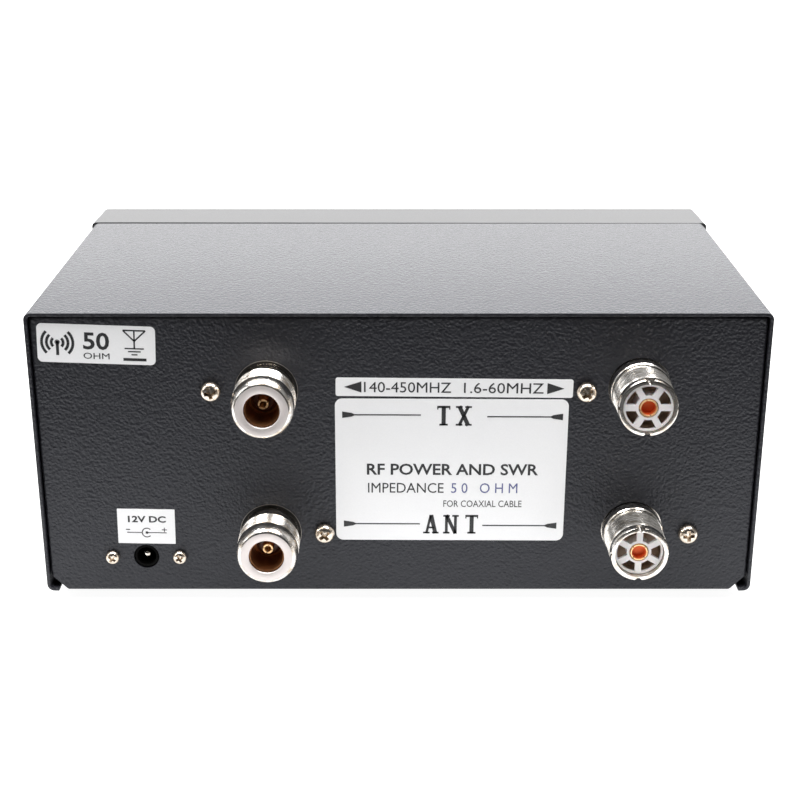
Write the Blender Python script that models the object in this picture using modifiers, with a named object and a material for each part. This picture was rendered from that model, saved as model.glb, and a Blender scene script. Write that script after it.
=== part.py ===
"""Bench SWR and power meter with two N jacks, two UHF jacks and a moving-coil meter.

Metres, +Z up. The front panel faces -Y and the rear panel faces +Y. The origin is the
centre of the footprint, on the surface that the rubber feet stand on.
"""

import math

import bmesh
import bpy
from mathutils import Matrix, Vector

# Driving dimensions of the case.
FOOT_HEIGHT = 0.0035
CASE_WIDTH = 0.2000
CASE_HEIGHT = 0.0827
COVER_LENGTH = 0.0993
REAR_EDGE_Y = 0.05725
BEZEL_FRONT_Y = -0.0635
SHEET = 0.0010
GAP = 0.0003

# Places that follow from them.
FLOOR_Z = FOOT_HEIGHT
ROOF_Z = FLOOR_Z + CASE_HEIGHT
COVER_FRONT_Y = REAR_EDGE_Y - COVER_LENGTH
PANEL_RECESS = 0.0008
REAR_FACE_Y = REAR_EDGE_Y - PANEL_RECESS
REAR_INSIDE_Y = REAR_FACE_Y - SHEET
WALL_FACE_Y = -0.0555
WALL_INSIDE_Y = WALL_FACE_Y + SHEET
FASCIA_THICKNESS = 0.0015
FASCIA_FACE_Y = WALL_FACE_Y - GAP - FASCIA_THICKNESS
CHASSIS_HALF = CASE_WIDTH / 2 - SHEET - GAP
CHASSIS_TOP_Z = ROOF_Z - SHEET - GAP
FLOOR_HALF = 0.0946

# Coaxial jacks on the rear panel: one pair of N jacks and one pair of UHF jacks.
UPPER_JACK_Z = FLOOR_Z + 0.0613
LOWER_JACK_Z = FLOOR_Z + 0.0189
JACK_MIDDLE_Z = (UPPER_JACK_Z + LOWER_JACK_Z) / 2
N_JACK_X = 0.0359
UHF_JACK_X = -0.0654
THREAD_RADIUS = 0.00794
N_DROP = 0.0008
N_NOSE_RADIUS = 0.0084
N_FRONT_Y = REAR_EDGE_Y + 0.0149
UHF_FRONT_Y = REAR_EDGE_Y + 0.0150
JACK_HOLE_RADIUS = 0.0086
COUPLER_SCREW_OFFSET = 0.0151
UHF_SCREW_SHIFT = (-0.0007, -0.0010)

# Power inlet on the rear panel.
DC_X = 0.0713
DC_Z = FLOOR_Z + 0.0106
DC_SCREW_SPACING = 0.0190

# Meter on the front panel.
METER_X = -0.0440
METER_Z = FLOOR_Z + 0.0410
METER_WIDTH = 0.0930
METER_HEIGHT = 0.0610
METER_BACK_Y = -0.0225
PIVOT_Z = FLOOR_Z + 0.0230
POINTER_Y = -0.0545
REST_ANGLE = math.radians(45)

# Controls on the front panel, as (X, Z) of each axis.
FUNCTION_AT = (0.0280, FLOOR_Z + 0.0530)
RANGE_AT = (0.0680, FLOOR_Z + 0.0530)
CALIBRATION_AT = (0.0740, FLOOR_Z + 0.0220)
TOGGLE_AT = (0.0530, FLOOR_Z + 0.0220)
SENSOR_AT = (0.0150, FLOOR_Z + 0.0220)
PEAK_AT = (0.0330, FLOOR_Z + 0.0220)
BUSHING_RADIUS = 0.0035
BUTTON_RADIUS = 0.0040
TOGGLE_BUSHING_RADIUS = 0.0040

# Coupler boxes behind the rear panel.
COUPLER_BACK_Y = REAR_INSIDE_Y - 0.0028
COUPLER_HEIGHT = 0.0620
COUPLER_WALL = 0.0010
HF_WIDTH = 0.0440
HF_DEPTH = 0.0320
UHF_WIDTH = 0.0380
UHF_DEPTH = 0.0260
LINE_Y = 0.0375
LINE_RADIUS = 0.0020

FINE = 24
MEDIUM = 16
COARSE = 12

UP = Matrix.Identity(3)
TOWARDS_REAR = Matrix.Rotation(math.radians(-90), 3, "X")
TOWARDS_FRONT = Matrix.Rotation(math.radians(90), 3, "X")


# ---------------------------------------------------------------- scene and materials


def clear_scene():
    for obj in list(bpy.data.objects):
        bpy.data.objects.remove(obj)


def new_collection(name):
    collection = bpy.data.collections.new(name)
    bpy.context.scene.collection.children.link(collection)
    return collection


def new_material(name, colour, roughness, metallic=0.0):
    material = bpy.data.materials.new(name)
    material.use_nodes = True
    shader = material.node_tree.nodes["Principled BSDF"]
    shader.inputs["Base Color"].default_value = (*colour, 1.0)
    shader.inputs["Roughness"].default_value = roughness
    shader.inputs["Metallic"].default_value = metallic
    return material


clear_scene()
PARTS = new_collection("swr_meter")
CUTTERS = new_collection("cutters")

PAINTED_STEEL = new_material("painted_steel", (0.020, 0.020, 0.023), 0.45)
BLACK_PLASTIC = new_material("black_plastic", (0.015, 0.015, 0.016), 0.40)
KNOB_PLASTIC = new_material("knob_plastic", (0.012, 0.012, 0.013), 0.35)
FASCIA_BLACK = new_material("fascia_black", (0.018, 0.018, 0.019), 0.50)
NICKEL = new_material("nickel", (0.72, 0.70, 0.66), 0.22, 1.0)
GOLD = new_material("gold", (0.80, 0.52, 0.20), 0.25, 1.0)
RESIN = new_material("white_resin", (0.75, 0.73, 0.72), 0.45)
AMBER_RESIN = new_material("amber_resin", (0.16, 0.06, 0.025), 0.35)
TINPLATE = new_material("tinplate", (0.60, 0.60, 0.58), 0.35, 1.0)
RUBBER = new_material("rubber", (0.02, 0.02, 0.02), 0.85)
CLEAR = new_material("clear_acrylic", (0.90, 0.92, 0.92), 0.05)
DIAL_WHITE = new_material("dial_white", (0.85, 0.83, 0.74), 0.60)
POINTER_RED = new_material("pointer_red", (0.55, 0.04, 0.03), 0.45)
MAGNET_STEEL = new_material("magnet_steel", (0.30, 0.30, 0.31), 0.45, 1.0)
COPPER = new_material("copper", (0.62, 0.30, 0.16), 0.30, 1.0)
BOARD_GREEN = new_material("board_green", (0.03, 0.16, 0.07), 0.45)
FERRITE = new_material("ferrite", (0.06, 0.06, 0.07), 0.60)
WIRE_BLACK = new_material("wire_black", (0.03, 0.03, 0.03), 0.50)
CHROME = new_material("chrome", (0.75, 0.75, 0.76), 0.15, 1.0)


# ---------------------------------------------------------------- modelling tools


def place(obj, material, location, turn=UP, collection=PARTS):
    """Links obj, gives it its material and puts its origin at location, turned."""
    collection.objects.link(obj)
    obj.location = location
    obj.rotation_euler = turn.to_euler()
    if material is not None:
        obj.data.materials.append(material)
    if collection is CUTTERS:
        obj.hide_render = True
        obj.display_type = "WIRE"
    return obj


def object_from(bm, name, material, location, turn=UP, collection=PARTS):
    mesh = bpy.data.meshes.new(name)
    bm.to_mesh(mesh)
    bm.free()
    return place(bpy.data.objects.new(name, mesh), material, location, turn, collection)


def add_box(bm, low, high):
    """Adds a box between two corners and returns its vertices."""
    low, high = Vector(low), Vector(high)
    made = bmesh.ops.create_cube(bm, size=1.0)["verts"]
    bmesh.ops.scale(bm, vec=high - low, verts=made)
    bmesh.ops.translate(bm, vec=(low + high) / 2, verts=made)
    return made


def add_rod(bm, start, end, radius, segments=MEDIUM, end_radius=None):
    """Adds a cylinder or cone between two points."""
    start, end = Vector(start), Vector(end)
    along = end - start
    turn = along.to_track_quat("Z", "Y").to_matrix().to_4x4()
    bmesh.ops.create_cone(
        bm,
        cap_ends=True,
        segments=segments,
        radius1=radius,
        radius2=radius if end_radius is None else end_radius,
        depth=along.length,
        matrix=Matrix.Translation((start + end) / 2) @ turn,
    )


def box(name, low, high, material, bevel=0.0, collection=PARTS):
    """A box between two corners, its origin at its middle."""
    middle = (Vector(low) + Vector(high)) / 2
    bm = bmesh.new()
    add_box(bm, Vector(low) - middle, Vector(high) - middle)
    obj = object_from(bm, name, material, middle, collection=collection)
    if bevel:
        round_edges(obj, bevel)
    return obj


def round_edges(obj, width, segments=2):
    modifier = obj.modifiers.new("rounded", "BEVEL")
    modifier.width = width
    modifier.segments = segments
    modifier.limit_method = "ANGLE"


def turned(name, profile, location, turn, material, steps=FINE, collection=PARTS):
    """A turned solid. profile is (radius, height) down the outer side, top to bottom.

    A profile that ends on the axis is solid, and one that doesn't is closed into a ring.
    """
    bm = bmesh.new()
    points = [bm.verts.new((radius, 0.0, height)) for radius, height in profile]
    for first, second in zip(points, points[1:]):
        bm.edges.new((first, second))
    if profile[0][0] > 0 or profile[-1][0] > 0:
        bm.edges.new((points[-1], points[0]))
    obj = object_from(bm, name, material, location, turn, collection)
    screw = obj.modifiers.new("turned", "SCREW")
    screw.steps = screw.render_steps = steps
    screw.use_merge_vertices = True
    screw.merge_threshold = 0.00001
    return obj


def boolean(obj, other, operation):
    modifier = obj.modifiers.new(operation.lower(), "BOOLEAN")
    modifier.operation = operation
    modifier.object = other


def cut(obj, *cutters):
    for cutter in cutters:
        boolean(obj, cutter, "DIFFERENCE")


def add_to(obj, *pieces):
    """Joins helper solids to obj. The helpers are listed with the cutters."""
    for piece in pieces:
        boolean(obj, piece, "UNION")


def cutting_box(name, low, high):
    return box(name, low, high, None, collection=CUTTERS)


def drill(obj, name, holes, y_low, y_high, segments=MEDIUM):
    """Cuts round holes through obj along Y. holes is a list of (x, z, radius)."""
    bm = bmesh.new()
    for x, z, radius in holes:
        add_rod(bm, (x, y_low, z), (x, y_high, z), radius, segments)
    cut(obj, object_from(bm, name, None, (0, 0, 0), collection=CUTTERS))


def arc(centre, radius, start_deg, end_deg, steps):
    """Points of an arc in a plane, as (across, up)."""
    angles = [start_deg + (end_deg - start_deg) * i / steps for i in range(steps + 1)]
    return [
        (
            centre[0] + radius * math.cos(math.radians(a)),
            centre[1] + radius * math.sin(math.radians(a)),
        )
        for a in angles
    ]


def smooth(obj, sharp_deg=35):
    obj.data.shade_smooth()
    obj.data.set_sharp_from_angle(angle=math.radians(sharp_deg))


# ---------------------------------------------------------------- case


def top_cover():
    """One sheet bent over the roof and both sides, with a lip turned in at each foot."""
    half = (CASE_WIDTH - SHEET) / 2
    roof = ROOF_Z - SHEET / 2
    floor = FLOOR_Z + SHEET / 2
    bend = 0.0015
    lip = 0.0034
    right = [(half - lip + SHEET / 2, floor)]
    right += arc((half - bend, floor + bend), bend, -90, 0, 6)
    right += arc((half - bend, roof - bend), bend, 0, 90, 8)
    section = right + [(-x, z) for x, z in reversed(right)]
    bm = bmesh.new()
    points = [bm.verts.new((x, COVER_FRONT_Y, z)) for x, z in section]
    edges = [bm.edges.new(pair) for pair in zip(points, points[1:])]
    swept = bmesh.ops.extrude_edge_only(bm, edges=edges)["geom"]
    moved = [v for v in swept if isinstance(v, bmesh.types.BMVert)]
    bmesh.ops.translate(bm, vec=(0, COVER_LENGTH, 0), verts=moved)
    bmesh.ops.recalc_face_normals(bm, faces=bm.faces)
    cover = object_from(bm, "top_cover", PAINTED_STEEL, (0, 0, 0))
    solid = cover.modifiers.new("sheet", "SOLIDIFY")
    solid.thickness = SHEET
    solid.offset = 0
    smooth(cover)


def chassis():
    """Floor, rear panel and front wall folded from one sheet, the walls with flanges."""
    low = Vector((-CHASSIS_HALF, WALL_FACE_Y, FLOOR_Z))
    high = Vector((CHASSIS_HALF, REAR_FACE_Y, CHASSIS_TOP_Z))
    body = box("chassis", low, high, PAINTED_STEEL)
    round_edges(body, 0.0006, 2)
    wall = Vector((SHEET, SHEET, SHEET))
    flange = 0.009
    front_flange_y = COVER_FRONT_Y + 0.008
    rear_flange_y = REAR_FACE_Y - flange
    out = 0.003
    cut(body, cutting_box("chassis_hollow", low + wall, high - wall))
    open_low = (-CHASSIS_HALF - out, front_flange_y, FLOOR_Z + 2 * SHEET)
    open_high = (CHASSIS_HALF + out, rear_flange_y, CHASSIS_TOP_Z + out)
    cut(body, cutting_box("chassis_open_top", open_low, open_high))
    for side in (-1, 1):
        x_near, x_far = sorted((side * FLOOR_HALF, side * (CHASSIS_HALF + out)))
        trim_low = (x_near, front_flange_y, FLOOR_Z - out)
        trim_high = (x_far, rear_flange_y, FLOOR_Z + 4 * SHEET)
        cut(body, cutting_box(f"floor_trim_{side}", trim_low, trim_high))
        cut(body, corner_cutter(side))
    drill_rear(body)
    drill_front(body)
    smooth(body)
    return body


def corner_cutter(side):
    """A bar along Y that takes the chassis's lower corner off at 45 degrees."""
    chamfer = 0.0048
    size = 0.012
    bm = bmesh.new()
    add_box(bm, (0, WALL_FACE_Y - 0.003, -size), (size, REAR_FACE_Y + 0.003, size))
    turn = Matrix.Rotation(math.radians(45), 4, "Y")
    bmesh.ops.transform(bm, matrix=turn, verts=bm.verts)
    bmesh.ops.translate(bm, vec=(CHASSIS_HALF - chamfer / 2, 0, FLOOR_Z + chamfer / 2), verts=bm.verts)
    if side < 0:
        bmesh.ops.scale(bm, vec=(-1, 1, 1), verts=bm.verts)
        bmesh.ops.reverse_faces(bm, faces=bm.faces)
    return object_from(bm, f"corner_{side}", None, (0, 0, 0), collection=CUTTERS)


def coupler_screw_places():
    """Each coupler box is held by two screws on its diagonal."""
    places = []
    for x, (dx, dz) in ((N_JACK_X, (0, -N_DROP)), (UHF_JACK_X, UHF_SCREW_SHIFT)):
        places.append((x + dx + COUPLER_SCREW_OFFSET, UPPER_JACK_Z + dz))
        places.append((x + dx - COUPLER_SCREW_OFFSET, LOWER_JACK_Z + dz))
    return places


def drill_rear(body):
    screw_hole = 0.0016
    dc_hole = 0.0036
    dc_screw_hole = 0.0012
    jacks = ((N_JACK_X, N_DROP), (UHF_JACK_X, 0))
    large = [(x, z - drop, JACK_HOLE_RADIUS) for x, drop in jacks for z in (UPPER_JACK_Z, LOWER_JACK_Z)]
    large += [(DC_X, DC_Z, dc_hole)]
    small = [(x, z, screw_hole) for x, z in coupler_screw_places()]
    small += [(DC_X + side * DC_SCREW_SPACING / 2, DC_Z, dc_screw_hole) for side in (-1, 1)]
    drill(body, "rear_large_holes", large, REAR_INSIDE_Y - 0.002, REAR_FACE_Y + 0.002, 2 * MEDIUM)
    drill(body, "rear_small_holes", small, REAR_INSIDE_Y - 0.002, REAR_FACE_Y + 0.002)


def drill_front(body):
    """The same openings go through the chassis's front wall and the fascia."""
    clear = 0.0004
    rotary = [(*at, BUSHING_RADIUS + clear) for at in (FUNCTION_AT, RANGE_AT, CALIBRATION_AT)]
    toggle = [(*TOGGLE_AT, TOGGLE_BUSHING_RADIUS + clear)]
    buttons = [(*at, BUTTON_RADIUS + clear) for at in (SENSOR_AT, PEAK_AT)]
    y_low, y_high = FASCIA_FACE_Y - 0.002, WALL_INSIDE_Y + 0.002
    drill(body, f"{body.name}_control_holes", rotary + toggle + buttons, y_low, y_high)
    half_width = METER_WIDTH / 2 + clear
    half_height = METER_HEIGHT / 2 + clear
    low = (METER_X - half_width, y_low, METER_Z - half_height)
    high = (METER_X + half_width, y_high, METER_Z + half_height)
    cut(body, cutting_box(f"{body.name}_meter_hole", low, high))


def front_bezel():
    """A moulded frame that closes the front of the case. The gap behind it opens towards +X."""
    back_y = COVER_FRONT_Y - GAP
    back_half, front_half = 0.1008, 0.1003
    back_top, front_top = ROOF_Z, ROOF_Z
    back_low, front_low = FLOOR_Z - 0.0018, FLOOR_Z - 0.0013
    skew = 0.0010
    bm = bmesh.new()
    made = add_box(bm, (-back_half, BEZEL_FRONT_Y, back_low), (back_half, back_y, back_top))
    middle_z = (back_low + back_top) / 2
    for vert in made:
        if vert.co.y < (BEZEL_FRONT_Y + back_y) / 2:
            vert.co.x = math.copysign(front_half, vert.co.x)
            vert.co.z = front_top if vert.co.z > middle_z else front_low
        elif vert.co.x > 0:
            vert.co.y -= skew
    depth_edges = [e for e in bm.edges if abs(e.verts[0].co.y - e.verts[1].co.y) > 0.001]
    bmesh.ops.bevel(
        bm, geom=depth_edges, offset=0.0013, segments=3, profile=0.5, affect="EDGES", material=-1
    )
    face = [e for e in bm.edges if all(v.co.y < BEZEL_FRONT_Y + 0.0001 for v in e.verts)]
    bmesh.ops.bevel(bm, geom=face, offset=0.0010, segments=2, profile=0.5, affect="EDGES", material=-1)
    bezel = object_from(bm, "front_bezel", BLACK_PLASTIC, (0, 0, 0))
    inner_half = CHASSIS_HALF + GAP
    lip_y = FASCIA_FACE_Y - GAP
    hollow_low = (-inner_half, lip_y, FLOOR_Z - GAP)
    hollow_high = (inner_half, back_y + 0.003, CHASSIS_TOP_Z + GAP)
    cut(bezel, cutting_box("bezel_hollow", hollow_low, hollow_high))
    cut(bezel, splayed_opening(lip_y))
    smooth(bezel)


def splayed_opening(lip_y):
    """The opening that shows the fascia, wider at the front, with rounded corners."""
    half_width, half_height = 0.0935, 0.0352
    splay = 0.0020
    front_y = BEZEL_FRONT_Y - 0.001
    centre_z = FLOOR_Z + 0.0410
    bm = bmesh.new()
    low = (-half_width, front_y, centre_z - half_height)
    made = add_box(bm, low, (half_width, lip_y + 0.002, centre_z + half_height))
    for vert in made:
        if vert.co.y < front_y + 0.0005:
            vert.co.x += math.copysign(splay, vert.co.x)
            vert.co.z += math.copysign(splay, vert.co.z - centre_z)
    depth_edges = [e for e in bm.edges if abs(e.verts[0].co.y - e.verts[1].co.y) > 0.001]
    bmesh.ops.bevel(
        bm, geom=depth_edges, offset=0.0025, segments=3, profile=0.5, affect="EDGES", material=-1
    )
    return object_from(bm, "bezel_opening", None, (0, 0, 0), collection=CUTTERS)


def front_panel():
    """The printed fascia plate, held between the bezel and the chassis's front wall."""
    half = CHASSIS_HALF - 0.0006
    low = (-half, FASCIA_FACE_Y, FLOOR_Z + 0.0006)
    high = (half, FASCIA_FACE_Y + FASCIA_THICKNESS, CHASSIS_TOP_Z - 0.0006)
    panel = box("front_panel", low, high, FASCIA_BLACK)
    drill_front(panel)


def feet():
    """Four rubber feet under the floor."""
    for x in (-0.0840, 0.0840):
        for y in (-0.0330, 0.0390):
            name = f"foot_{'rear' if y > 0 else 'front'}_{'left' if x < 0 else 'right'}"
            top = FLOOR_Z - GAP
            profile = [(0, top), (0.0068, top), (0.0062, 0.0005), (0.0057, 0), (0, 0)]
            smooth(turned(name, profile, (x, y, 0), UP, RUBBER, MEDIUM))


# ---------------------------------------------------------------- rear jacks


def n_jack(name, z):
    """An N jack: threaded shell with a flange, resin bead, and a slotted socket contact."""
    at = (N_JACK_X, 0, z)
    front = N_FRONT_Y
    flange_y = REAR_INSIDE_Y - GAP
    flange_back = COUPLER_BACK_Y + GAP
    neck_end = COUPLER_BACK_Y - 0.0025
    bore, mouth = 0.00460, 0.00490
    bore_end = front - 0.0095
    shell = [
        (mouth, front),
        (N_NOSE_RADIUS - 0.0012, front),
        (N_NOSE_RADIUS, front - 0.0016),
        (N_NOSE_RADIUS, front - 0.0108),
        (THREAD_RADIUS - 0.0003, front - 0.0114),
        (THREAD_RADIUS - 0.0003, flange_y),
        (0.0120, flange_y),
        (0.0120, flange_back),
        (0.0050, flange_back),
        (0.0050, neck_end),
        (0.0035, neck_end),
        (0.0035, bore_end),
        (bore, bore_end),
        (bore, front - 0.0008),
    ]
    smooth(turned(f"{name}_shell", shell, at, TOWARDS_REAR, NICKEL))
    bead_r = 0.0035 - GAP
    hole = 0.0015 + GAP
    bead = [(hole, bore_end), (bead_r, bore_end), (bead_r, neck_end), (hole, neck_end)]
    smooth(turned(f"{name}_insulator", bead, at, TOWARDS_REAR, AMBER_RESIN, MEDIUM))
    tip = front - 0.0052
    socket = [
        (0.00085, tip),
        (0.0015, tip),
        (0.0015, LINE_Y + LINE_RADIUS + GAP),
        (0, LINE_Y + LINE_RADIUS + GAP),
        (0, tip - 0.0045),
        (0.00085, tip - 0.0045),
    ]
    solid_socket(f"{name}_contact", socket, at)


def solid_socket(name, profile, at):
    """A socket contact: a rod with a blind bore, so its profile touches the axis twice."""
    bm = bmesh.new()
    points = [bm.verts.new((radius, 0.0, height)) for radius, height in profile]
    loop = points[4:] + points[:4]
    for first, second in zip(loop, loop[1:]):
        bm.edges.new((first, second))
    obj = object_from(bm, name, GOLD, at, TOWARDS_REAR)
    screw = obj.modifiers.new("turned", "SCREW")
    screw.steps = screw.render_steps = COARSE
    screw.use_merge_vertices = True
    screw.merge_threshold = 0.00001
    smooth(obj)


def uhf_jack(name, z, first_spoke_deg, recess):
    """A UHF jack: shell with a relieved nose, spoked resin disc, and a wide socket contact."""
    at = (UHF_JACK_X, 0, z)
    front = UHF_FRONT_Y
    flange_y = REAR_INSIDE_Y - GAP
    flange_back = COUPLER_BACK_Y + GAP
    neck_end = COUPLER_BACK_Y - 0.0025
    bore, shoulder = 0.0067, 0.0083
    disc_back = front - 0.0060
    shell = [
        (bore, front),
        (THREAD_RADIUS, front),
        (THREAD_RADIUS, front - 0.0024),
        (THREAD_RADIUS - 0.0005, front - 0.0026),
        (THREAD_RADIUS, front - 0.0032),
        (THREAD_RADIUS, front - 0.0122),
        (shoulder, front - 0.0122),
        (shoulder, flange_y),
        (0.0120, flange_y),
        (0.0120, flange_back),
        (0.0055, flange_back),
        (0.0055, neck_end),
        (0.0042, neck_end),
        (0.0042, disc_back),
        (bore, disc_back),
    ]
    body = turned(f"{name}_shell", shell, at, TOWARDS_REAR, NICKEL)
    cut(body, *rim_notches(name, z))
    smooth(body)
    face = front - 0.0008 - recess
    insulator = resin_disc(name, at, face, disc_back, first_spoke_deg)
    tail_r = 0.0042 - GAP
    hole = 0.0024 + GAP
    tail = [(hole, disc_back + 0.001), (tail_r, disc_back + 0.001), (tail_r, neck_end), (hole, neck_end)]
    add_to(insulator, turned(f"{name}_tail", tail, at, TOWARDS_REAR, None, MEDIUM, CUTTERS))
    tip = face
    socket = [
        (0.0019, tip),
        (0.0024, tip),
        (0.0024, LINE_Y + LINE_RADIUS + GAP),
        (0, LINE_Y + LINE_RADIUS + GAP),
        (0, tip - 0.0100),
        (0.0019, tip - 0.0100),
    ]
    solid_socket(f"{name}_contact", socket, at)


def rim_notches(name, z):
    """V notches at the top and bottom of the shell's rim, which key the plug."""
    notches = []
    for side in (-1, 1):
        bm = bmesh.new()
        add_box(bm, (-0.0009, UHF_FRONT_Y - 0.0012, -0.0009), (0.0009, UHF_FRONT_Y + 0.001, 0.0009))
        turn = Matrix.Rotation(math.radians(45), 4, "Y")
        bmesh.ops.transform(bm, matrix=turn, verts=bm.verts)
        rim_z = z + side * (THREAD_RADIUS - 0.0002)
        bmesh.ops.translate(bm, vec=(UHF_JACK_X, 0, rim_z), verts=bm.verts)
        notches.append(object_from(bm, f"{name}_notch_{side}", None, (0, 0, 0), collection=CUTTERS))
    return notches


def resin_disc(name, at, face, disc_back, first_spoke_deg):
    """The disc's face has a hub, a rim and six spokes, with pockets between them."""
    hub, rim, outer = 0.0034, 0.0059, 0.0067 - GAP
    hole = 0.0024 + GAP
    disc_profile = [
        (hole, face),
        (outer, face),
        (outer, disc_back + GAP),
        (hole, disc_back + GAP),
    ]
    disc = turned(f"{name}_insulator", disc_profile, at, TOWARDS_REAR, RESIN)
    spoke_half = 0.0009
    bm = bmesh.new()
    for index in range(6):
        middle = math.radians(first_spoke_deg + 60 * index + 30)
        inset_in = math.asin(spoke_half / hub)
        inset_out = math.asin(spoke_half / rim)
        outline = arc((0, 0), hub, -30 + math.degrees(inset_in), 30 - math.degrees(inset_in), 3)
        outline += arc((0, 0), rim, 30 - math.degrees(inset_out), -30 + math.degrees(inset_out), 4)
        turn = Matrix.Rotation(middle, 2)
        flat = [turn @ Vector(point) for point in outline]
        face_verts = [bm.verts.new((p.x, face + 0.001, p.y)) for p in flat]
        pocket = bm.faces.new(face_verts)
        made = bmesh.ops.extrude_face_region(bm, geom=[pocket])["geom"]
        moved = [v for v in made if isinstance(v, bmesh.types.BMVert)]
        bmesh.ops.translate(bm, vec=(0, -0.0038, 0), verts=moved)
    bmesh.ops.recalc_face_normals(bm, faces=bm.faces)
    pockets = object_from(bm, f"{name}_pockets", None, at, collection=CUTTERS)
    cut(disc, pockets)
    smooth(disc)
    return disc


def pan_head_screw(name, x, z, head_radius, head_height, shank_radius, length):
    """A cross-recess pan-head screw driven forwards into the rear panel."""
    seat = REAR_FACE_Y + GAP
    top = seat + head_height
    profile = [
        (0, top),
        (head_radius * 0.60, top - head_height * 0.08),
        (head_radius * 0.92, top - head_height * 0.38),
        (head_radius, seat + head_height * 0.25),
        (head_radius, seat),
        (shank_radius, seat),
        (shank_radius, seat - length),
        (0, seat - length),
    ]
    screw = turned(name, profile, (x, 0, z), TOWARDS_REAR, NICKEL, COARSE)
    arm, half_width = head_radius * 0.55, head_radius * 0.13
    depth = head_height * 0.6
    bm = bmesh.new()
    add_box(bm, (-arm, top - depth, -half_width), (arm, top + 0.001, half_width))
    first = object_from(bm, f"{name}_slot_a", None, (x, 0, z), collection=CUTTERS)
    bm = bmesh.new()
    add_box(bm, (-half_width, top - depth, -arm), (half_width, top + 0.001, arm))
    second = object_from(bm, f"{name}_slot_b", None, (x, 0, z), collection=CUTTERS)
    cut(screw, first, second)
    smooth(screw)


def rear_screws():
    for number, (x, z) in enumerate(coupler_screw_places(), 1):
        pan_head_screw(f"coupler_screw_{number}", x, z, 0.0028, 0.0023, 0.0013, 0.0060)
    for side, word in ((-1, "left"), (1, "right")):
        x = DC_X + side * DC_SCREW_SPACING / 2
        pan_head_screw(f"dc_jack_screw_{word}", x, DC_Z, 0.0020, 0.0016, 0.0009, 0.0050)


def dc_jack():
    """Barrel power socket: eared body behind the panel, its mouth nearly flush with it."""
    ear_y = REAR_INSIDE_Y - GAP
    mouth_y = REAR_FACE_Y - GAP
    ear_low = (DC_X - 0.0122, ear_y - 0.0018, DC_Z - 0.0044)
    ear_high = (DC_X + 0.0122, ear_y, DC_Z + 0.0044)
    jack = box("dc_jack", ear_low, ear_high, BLACK_PLASTIC)
    block_low = (DC_X - 0.0045, ear_y - 0.0130, DC_Z - 0.0044)
    block_high = (DC_X + 0.0045, ear_y - 0.0010, DC_Z + 0.0056)
    block = box("dc_block", block_low, block_high, None, collection=CUTTERS)
    barrel_low, barrel_r, bore_r = ear_y - 0.0010, 0.0033, 0.00275
    nose = [(0, mouth_y), (barrel_r, mouth_y), (barrel_r, barrel_low), (0, barrel_low)]
    at = (DC_X, 0, DC_Z)
    add_to(jack, block, turned("dc_nose", nose, at, TOWARDS_REAR, None, MEDIUM, CUTTERS))
    bore = [(0, mouth_y + 0.001), (bore_r, mouth_y + 0.001), (bore_r, mouth_y - 0.0095), (0, mouth_y - 0.0095)]
    cut(jack, turned("dc_bore", bore, at, TOWARDS_REAR, None, MEDIUM, CUTTERS))
    screw_holes = [(DC_X + side * DC_SCREW_SPACING / 2, DC_Z, 0.0012) for side in (-1, 1)]
    drill(jack, "dc_ear_holes", screw_holes, ear_y - 0.003, ear_y + 0.001, COARSE)
    smooth(jack)
    pin_r, pin_back = 0.0010, mouth_y - 0.0095 + GAP
    pin = [
        (0, mouth_y - 0.0010),
        (pin_r * 0.6, mouth_y - 0.0012),
        (pin_r, mouth_y - 0.0018),
        (pin_r, pin_back),
        (0, pin_back),
    ]
    smooth(turned("dc_jack_pin", pin, at, TOWARDS_REAR, NICKEL, COARSE))


# ---------------------------------------------------------------- couplers


def coupler(prefix, x, drop, width, depth, neck_radius):
    """A folded tinplate box behind two jacks, with its lid, line and detector board."""
    half = width / 2
    middle_z = JACK_MIDDLE_Z - drop
    low_z = middle_z - COUPLER_HEIGHT / 2
    high_z = middle_z + COUPLER_HEIGHT / 2
    back = COUPLER_BACK_Y
    front = back - depth
    case = box(f"{prefix}_coupler_case", (x - half, front, low_z), (x + half, back, high_z), TINPLATE)
    w = COUPLER_WALL
    inner_low = (x - half + w, front - 0.001, low_z + w)
    inner_high = (x + half - w, back - w, high_z - w)
    cut(case, cutting_box(f"{prefix}_coupler_hollow", inner_low, inner_high))
    holes = [(x, z, neck_radius + 0.0005) for z in (UPPER_JACK_Z - drop, LOWER_JACK_Z - drop)]
    holes += [(sx, sz, 0.0016) for sx, sz in coupler_screw_places() if abs(sx - x) < half]
    drill(case, f"{prefix}_coupler_holes", holes, back - 0.003, back + 0.001)
    lid_y = front - GAP
    box(f"{prefix}_coupler_lid", (x - half, lid_y - w, low_z), (x + half, lid_y, high_z), TINPLATE)
    bm = bmesh.new()
    end = 0.004
    add_rod(bm, (0, 0, -end), (0, 0, UPPER_JACK_Z - LOWER_JACK_Z + end), LINE_RADIUS, COARSE)
    smooth(object_from(bm, f"{prefix}_coupler_line", COPPER, (x, LINE_Y, LOWER_JACK_Z - drop)))
    board_y = front + 0.0030
    board_low = (x - half + 0.004, board_y, low_z + 0.004)
    board_high = (x + half - 0.004, board_y + 0.0012, high_z - 0.004)
    board = box(f"{prefix}_detector_board", board_low, board_high, BOARD_GREEN)
    bm = bmesh.new()
    for row in (-1, 0, 1):
        z = middle_z + row * 0.014
        add_rod(bm, (x - 0.008, board_y + 0.0005, z), (x - 0.008, board_y + 0.0040, z), 0.0020, 12)
        add_box(bm, (x + 0.002, board_y + 0.0005, z - 0.002), (x + 0.009, board_y + 0.0030, z + 0.002))
    add_to(board, object_from(bm, f"{prefix}_detector_parts", None, (0, 0, 0), collection=CUTTERS))


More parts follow.
